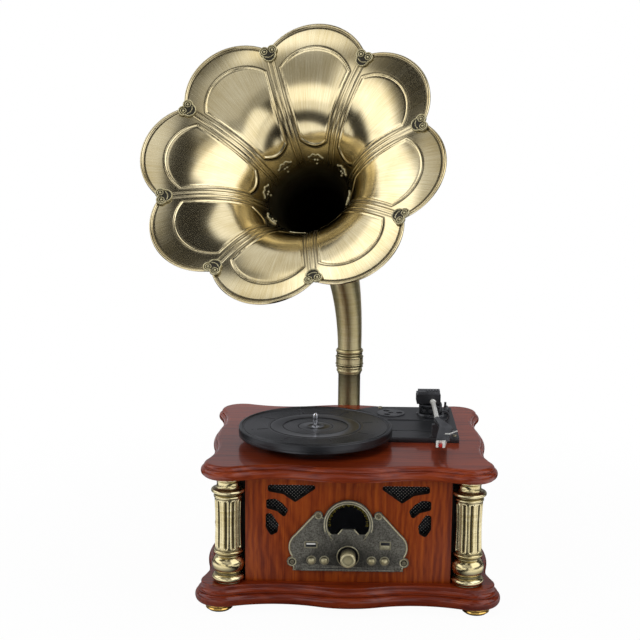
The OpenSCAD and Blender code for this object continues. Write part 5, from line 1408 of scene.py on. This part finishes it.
def makePlatter(spec):
    r, t = spec["radius"], spec["thick"]
    face, well = t - spec["faceDown"], t - spec["wellDown"]
    hub, drive, web = spec["hub"], spec["drive"], spec["web"]
    under = [(spec["bore"], -1), (hub, -1), (hub, web), (drive - 3, web), (drive - 3, -0.9), (drive, -0.9),
             (drive, web), (r - 3, web), (r - 3, 0.3), (r - 2.6, 0)]
    side = bend(r - 0.7, 0.7, 0.7, -90, 0, 5) + [(r, 3.0), (r - 0.35, 3.3), (r - 0.35, 3.9), (r, 4.2)]
    side += bend(r - 1.5, t - 1.5, 1.5, 0, 90, 8) + [(r - 3.2, t)] + bend(r - 4.2, t, 0.8, 60, -60, 2)

    def turnedRings(x, last, step, half, level, high):  # fine rings of a face, from the outside in
        line = []
        while x > last:
            line += [(x + half, level), (x + 0.2, level + high), (x - 0.2, level + high), (x - half, level)]
            x -= step
        return line

    top = [(r - 4.4, t - 0.1), (r - 5.4, face)] + turnedRings(r - 7.0, 61.5, 1.9, 0.45, face, 0.16)
    top += [(60, face), (59.6, face - 0.5), (58.8, face - 0.5), (58.4, face), (57.2, face + 0.25)]
    top += [(55.6, face), (43.2, face), (42.8, face - 0.15), (42.2, well + 0.1), (41.6, well)]
    top += turnedRings(39.5, 25, 2.4, 0.5, well, 0.14)
    top += [(23.4, well), (23, well - 0.4), (22, well - 0.4), (21.6, well), (12, well), (11.5, well + 0.35),
            (9.5, well + 0.35), (9.0, well), (spec["bore"], well)]
    place = at(*spec["place"])
    parts = [lathe("disc", under + side + top, 192, place, closed=True)]
    marks = [lathe("groove", [(x - w, z - 0.3), (x - w, z + 0.04), (x + w, z + 0.04), (x + w, z - 0.3)], 192,
                   place, closed=True)
             for x, w, z in ((93.4, 0.5, face), (59.2, 0.8, face), (42.4, 0.8, face), (22.5, 0.6, well))]
    for i in range(spec["dashes"]):
        turn = place @ Matrix.Rotation(2 * math.pi * (i + 0.35) / spec["dashes"], 4, "Z")
        marks.append(boxPiece("dash", (63, -0.7, face - 0.1), (78, 0.7, face + 0.25), 0.1, turn))
        parts.append(boxPiece("mark", (83, -0.9, face - 0.1), (85.5, 0.9, face + 0.45), 0.2, turn))
    piece = joined("platter_moulded", parts, place)
    finishPiece(piece, "platterAbs", "platter", ["platter"])
    grooves = joined("platter_grooves", marks, place)
    finishPiece(grooves, "rubber", "platter")


makePlatter(platterSpec)
print("platter moulded")

# Small parts of the tonearm: ribs of its cap, a cheek cap, the tube's ring and the lever's hub
armSpec = {"place": (115, 82), "deck": 186.8, "axis": 207.5}


def makeArmTrims(spec):
    x, y = spec["place"]
    z = spec["axis"]
    ribs = [boxPiece("rib", (x - 8 + 4 * i, y - 8, z + 12.8), (x - 6.2 + 4 * i, y + 6, z + 13.9), 0.3)
            for i in range(5)]
    ribs.append(boxPiece("cheekCap", (x - 22.6, y - 10, z - 1.5), (x - 21.6, y + 8, z + 7.5), 0.4))
    trims = joined("arm_ribs", ribs)
    finishPiece(trims, "greyAbs", "tonearm")
    ring = lathe("tubeRing", [(3.0, 0), (3.9, 0), (4.1, 0.4), (4.1, 3.2), (3.7, 3.6), (3.0, 3.6)], 48,
                 facingFront(x, y - 12.9, z), closed=True)
    finishPiece(ring, "anodised", "tonearm")
    hub = lathe("hubCap", [(0, 0), (4.4, 0)] + bend(3.0, 0, 1.4, 0, 90, 5) + [(0, 1.8)], 48,
                at(x + 20.5, y - 4, spec["deck"] + 8.3) @ spin(90, "Y"))
    finishPiece(hub, "greyAbs", "cue_lever")


makeArmTrims(armSpec)
print("tonearm trimmed")

# Stage: pale floor, white beyond it, soft lamps, and a studio of soft boxes that only reflections see
stageSpec = {"floorZ": -10.0, "floorHalf": 9000, "floorColour": "#F2F2F0", "floorWhite": 0.97,
             "fade": (330, 900), "mirror": (0.02, 1.4, 1900, 3500), "sideBright": 1.6,
             "sideFades": ((180, 420, 0.0, 1.0), (1050, 1300, 1.0, 0.04)), "sideStart": (12, 24),
             "sideEnd": (114, 80), "worldFill": 0.16, "worldDark": 0.04, "edge": 7.0, "boxColour": "#F6F8FF"}
lamps = {  # name: place, aim, width, height, watts
    "keyLeft": ((-1500, -1300, 1500), (-40, 0, 400), 900, 1200, 15),
    "fillRight": ((1600, -1200, 900), (0, 0, 300), 700, 1200, 6),
    "top": ((0, -200, 2200), (0, 0, 200), 1400, 900, 22),
}
softBoxes = (  # middle: degrees to the right of straight ahead, and up; half width, half height, strength
    (-103, 42, 17, 29, 2.20), (-71, 23, 16, 11, 2.20), (-56, 20, 12, 12, 1.80), (-33, 4, 18, 9, 2.00),
    (-12, 27, 40, 16, 0.45), (-3, 34, 18, 14, 0.75), (22, 6, 20, 9, 1.70), (64, 38, 37, 25, 2.20),
    (132, 72, 40, 13, 1.50), (-150, 66, 35, 12, 0.95), (-33, 40, 12, 4, 2.10), (-20, 62, 14, 9, 1.10),
    (-118, 50, 18, 10, 1.10), (158, 18, 26, 16, 0.34), (-155, 18, 30, 18, 0.46),
    (-77, 50, 7, 6, 0.85), (-84, 72, 16, 4, 1.50), (24, 45, 5, 9, 0.95),
)


def aimed(place, aim):
    place, aim = Vector(place) * mm, Vector(aim) * mm
    return Matrix.Translation(place) @ (aim - place).to_track_quat("-Z", "Y").to_matrix().to_4x4()


def turnFromFront(finish, parts):  # angle from straight ahead, seen from above
    return calc(finish, "ARCTAN2", parts["X"], calc(finish, "MULTIPLY", parts["Y"], -1.0))


def studioStrength(world, spec):  # brightness by direction: a dark room with soft boxes in it
    way = addNode(world, "ShaderNodeTexCoord").outputs["Generated"]
    parts = addNode(world, "ShaderNodeSeparateXYZ", {"Vector": way}).outputs
    turn, rise = turnFromFront(world, parts), calc(world, "ARCSINE", parts["Z"])
    total, soft = spec["worldDark"], spec["edge"] / 2
    for middle, height, halfWide, halfHigh, strength in softBoxes:
        box = strength
        for angle, centre, half in ((turn, middle, halfWide), (rise, height, halfHigh)):
            off = calc(world, "ABSOLUTE", calc(world, "SUBTRACT", angle, math.radians(centre)))
            box = calc(world, "MULTIPLY", box, ramp(
                world, off, 0.0, 1.0, math.radians(half + soft), math.radians(half - soft), "SMOOTHSTEP"))
        total = calc(world, "MAXIMUM", total, box)
    return total


def whitePaper(spec):  # matt white paper: keeps the soft shadow, fades into the background
    finish = startFinish("paperWhite")
    place = objectPoint(finish)
    path = addNode(finish, "ShaderNodeLightPath").outputs
    away = steer(finish, "LENGTH", {0: place}, "Value")

    def byDistance(low, high, start, end):
        return ramp(finish, away, low, high, start * mm, end * mm, "SMOOTHSTEP")

    paper = addNode(finish, "ShaderNodeBsdfPrincipled", {
        "Base Color": toLinear(spec["floorColour"]), "Roughness": 0.9,
        "Normal": bumped(finish, noise(finish, place, 3), 0.03, 0.1)})
    white = addNode(finish, "ShaderNodeEmission", {"Color": (1, 1, 1, 1), "Strength": 1.0})
    seen = calc(finish, "MAXIMUM", path["Is Camera Ray"], path["Is Transmission Ray"])
    share = calc(finish, "MULTIPLY", seen, byDistance(spec["floorWhite"], 1.0, *spec["fade"]))
    straight = addNode(finish, "ShaderNodeMixShader", {0: share, 1: paper.outputs[0], 2: white.outputs[0]})
    # in reflections the table is dark before and behind the object, bright at its sides and far off
    spots = addNode(finish, "ShaderNodeSeparateXYZ", {"Vector": place}).outputs
    around = calc(finish, "ABSOLUTE", turnFromFront(finish, spots))
    sides = spec["sideBright"]
    for start, end in (spec["sideStart"], spec["sideEnd"]):
        sides = calc(finish, "MULTIPLY", sides, ramp(
            finish, around, 0.0, 1.0, math.radians(start), math.radians(end), "SMOOTHSTEP"))
    for start, end, low, high in spec["sideFades"]:
        sides = calc(finish, "MULTIPLY", sides, byDistance(low, high, start, end))
    mirror = addNode(finish, "ShaderNodeEmission", {
        "Color": toLinear(spec["boxColour"]),
        "Strength": calc(finish, "MAXIMUM", sides, byDistance(*spec["mirror"]))})
    return endFinish(finish, addNode(finish, "ShaderNodeMixShader", {
        0: path["Is Glossy Ray"], 1: straight.outputs[0], 2: mirror.outputs[0]}))


def makeStage(spec):
    half = spec["floorHalf"]
    corners = [(x * half, y * half, spec["floorZ"]) for x, y in ((-1, -1), (1, -1), (1, 1), (-1, 1))]
    floor = meshPiece("floor", corners, [(0, 1, 2, 3)])
    floor.data.materials.append(whitePaper(spec))

    world = bpy.data.worlds.new("studio")
    scene.world = world
    world.use_nodes = True
    world.node_tree.nodes.clear()
    path = addNode(world, "ShaderNodeLightPath").outputs
    last, room, white = (
        addNode(world, "ShaderNodeBackground", {"Color": toLinear(colour), "Strength": strength})
        for colour, strength in (
            ("#FFFFFF", spec["worldFill"]), (spec["boxColour"], studioStrength(world, spec)),
            ("#FFFFFF", 1.0)))
    for ray, layer in (("Is Glossy Ray", room), ("Is Transmission Ray", white), ("Is Camera Ray", white)):
        last = addNode(world, "ShaderNodeMixShader", {0: path[ray], 1: last.outputs[0], 2: layer.outputs[0]})
    addNode(world, "ShaderNodeOutputWorld", {"Surface": last.outputs[0]})
    world.cycles.sampling_method = "NONE"

    for name, (place, aim, width, height, watts) in lamps.items():
        data = bpy.data.lights.new(name, "AREA")
        data.shape, data.size, data.size_y, data.energy = "RECTANGLE", width * mm, height * mm, watts
        placed(name, data, aimed(place, aim)).visible_glossy = False


makeStage(stageSpec)
scene.view_settings.view_transform = "Standard"
print("stage lit")
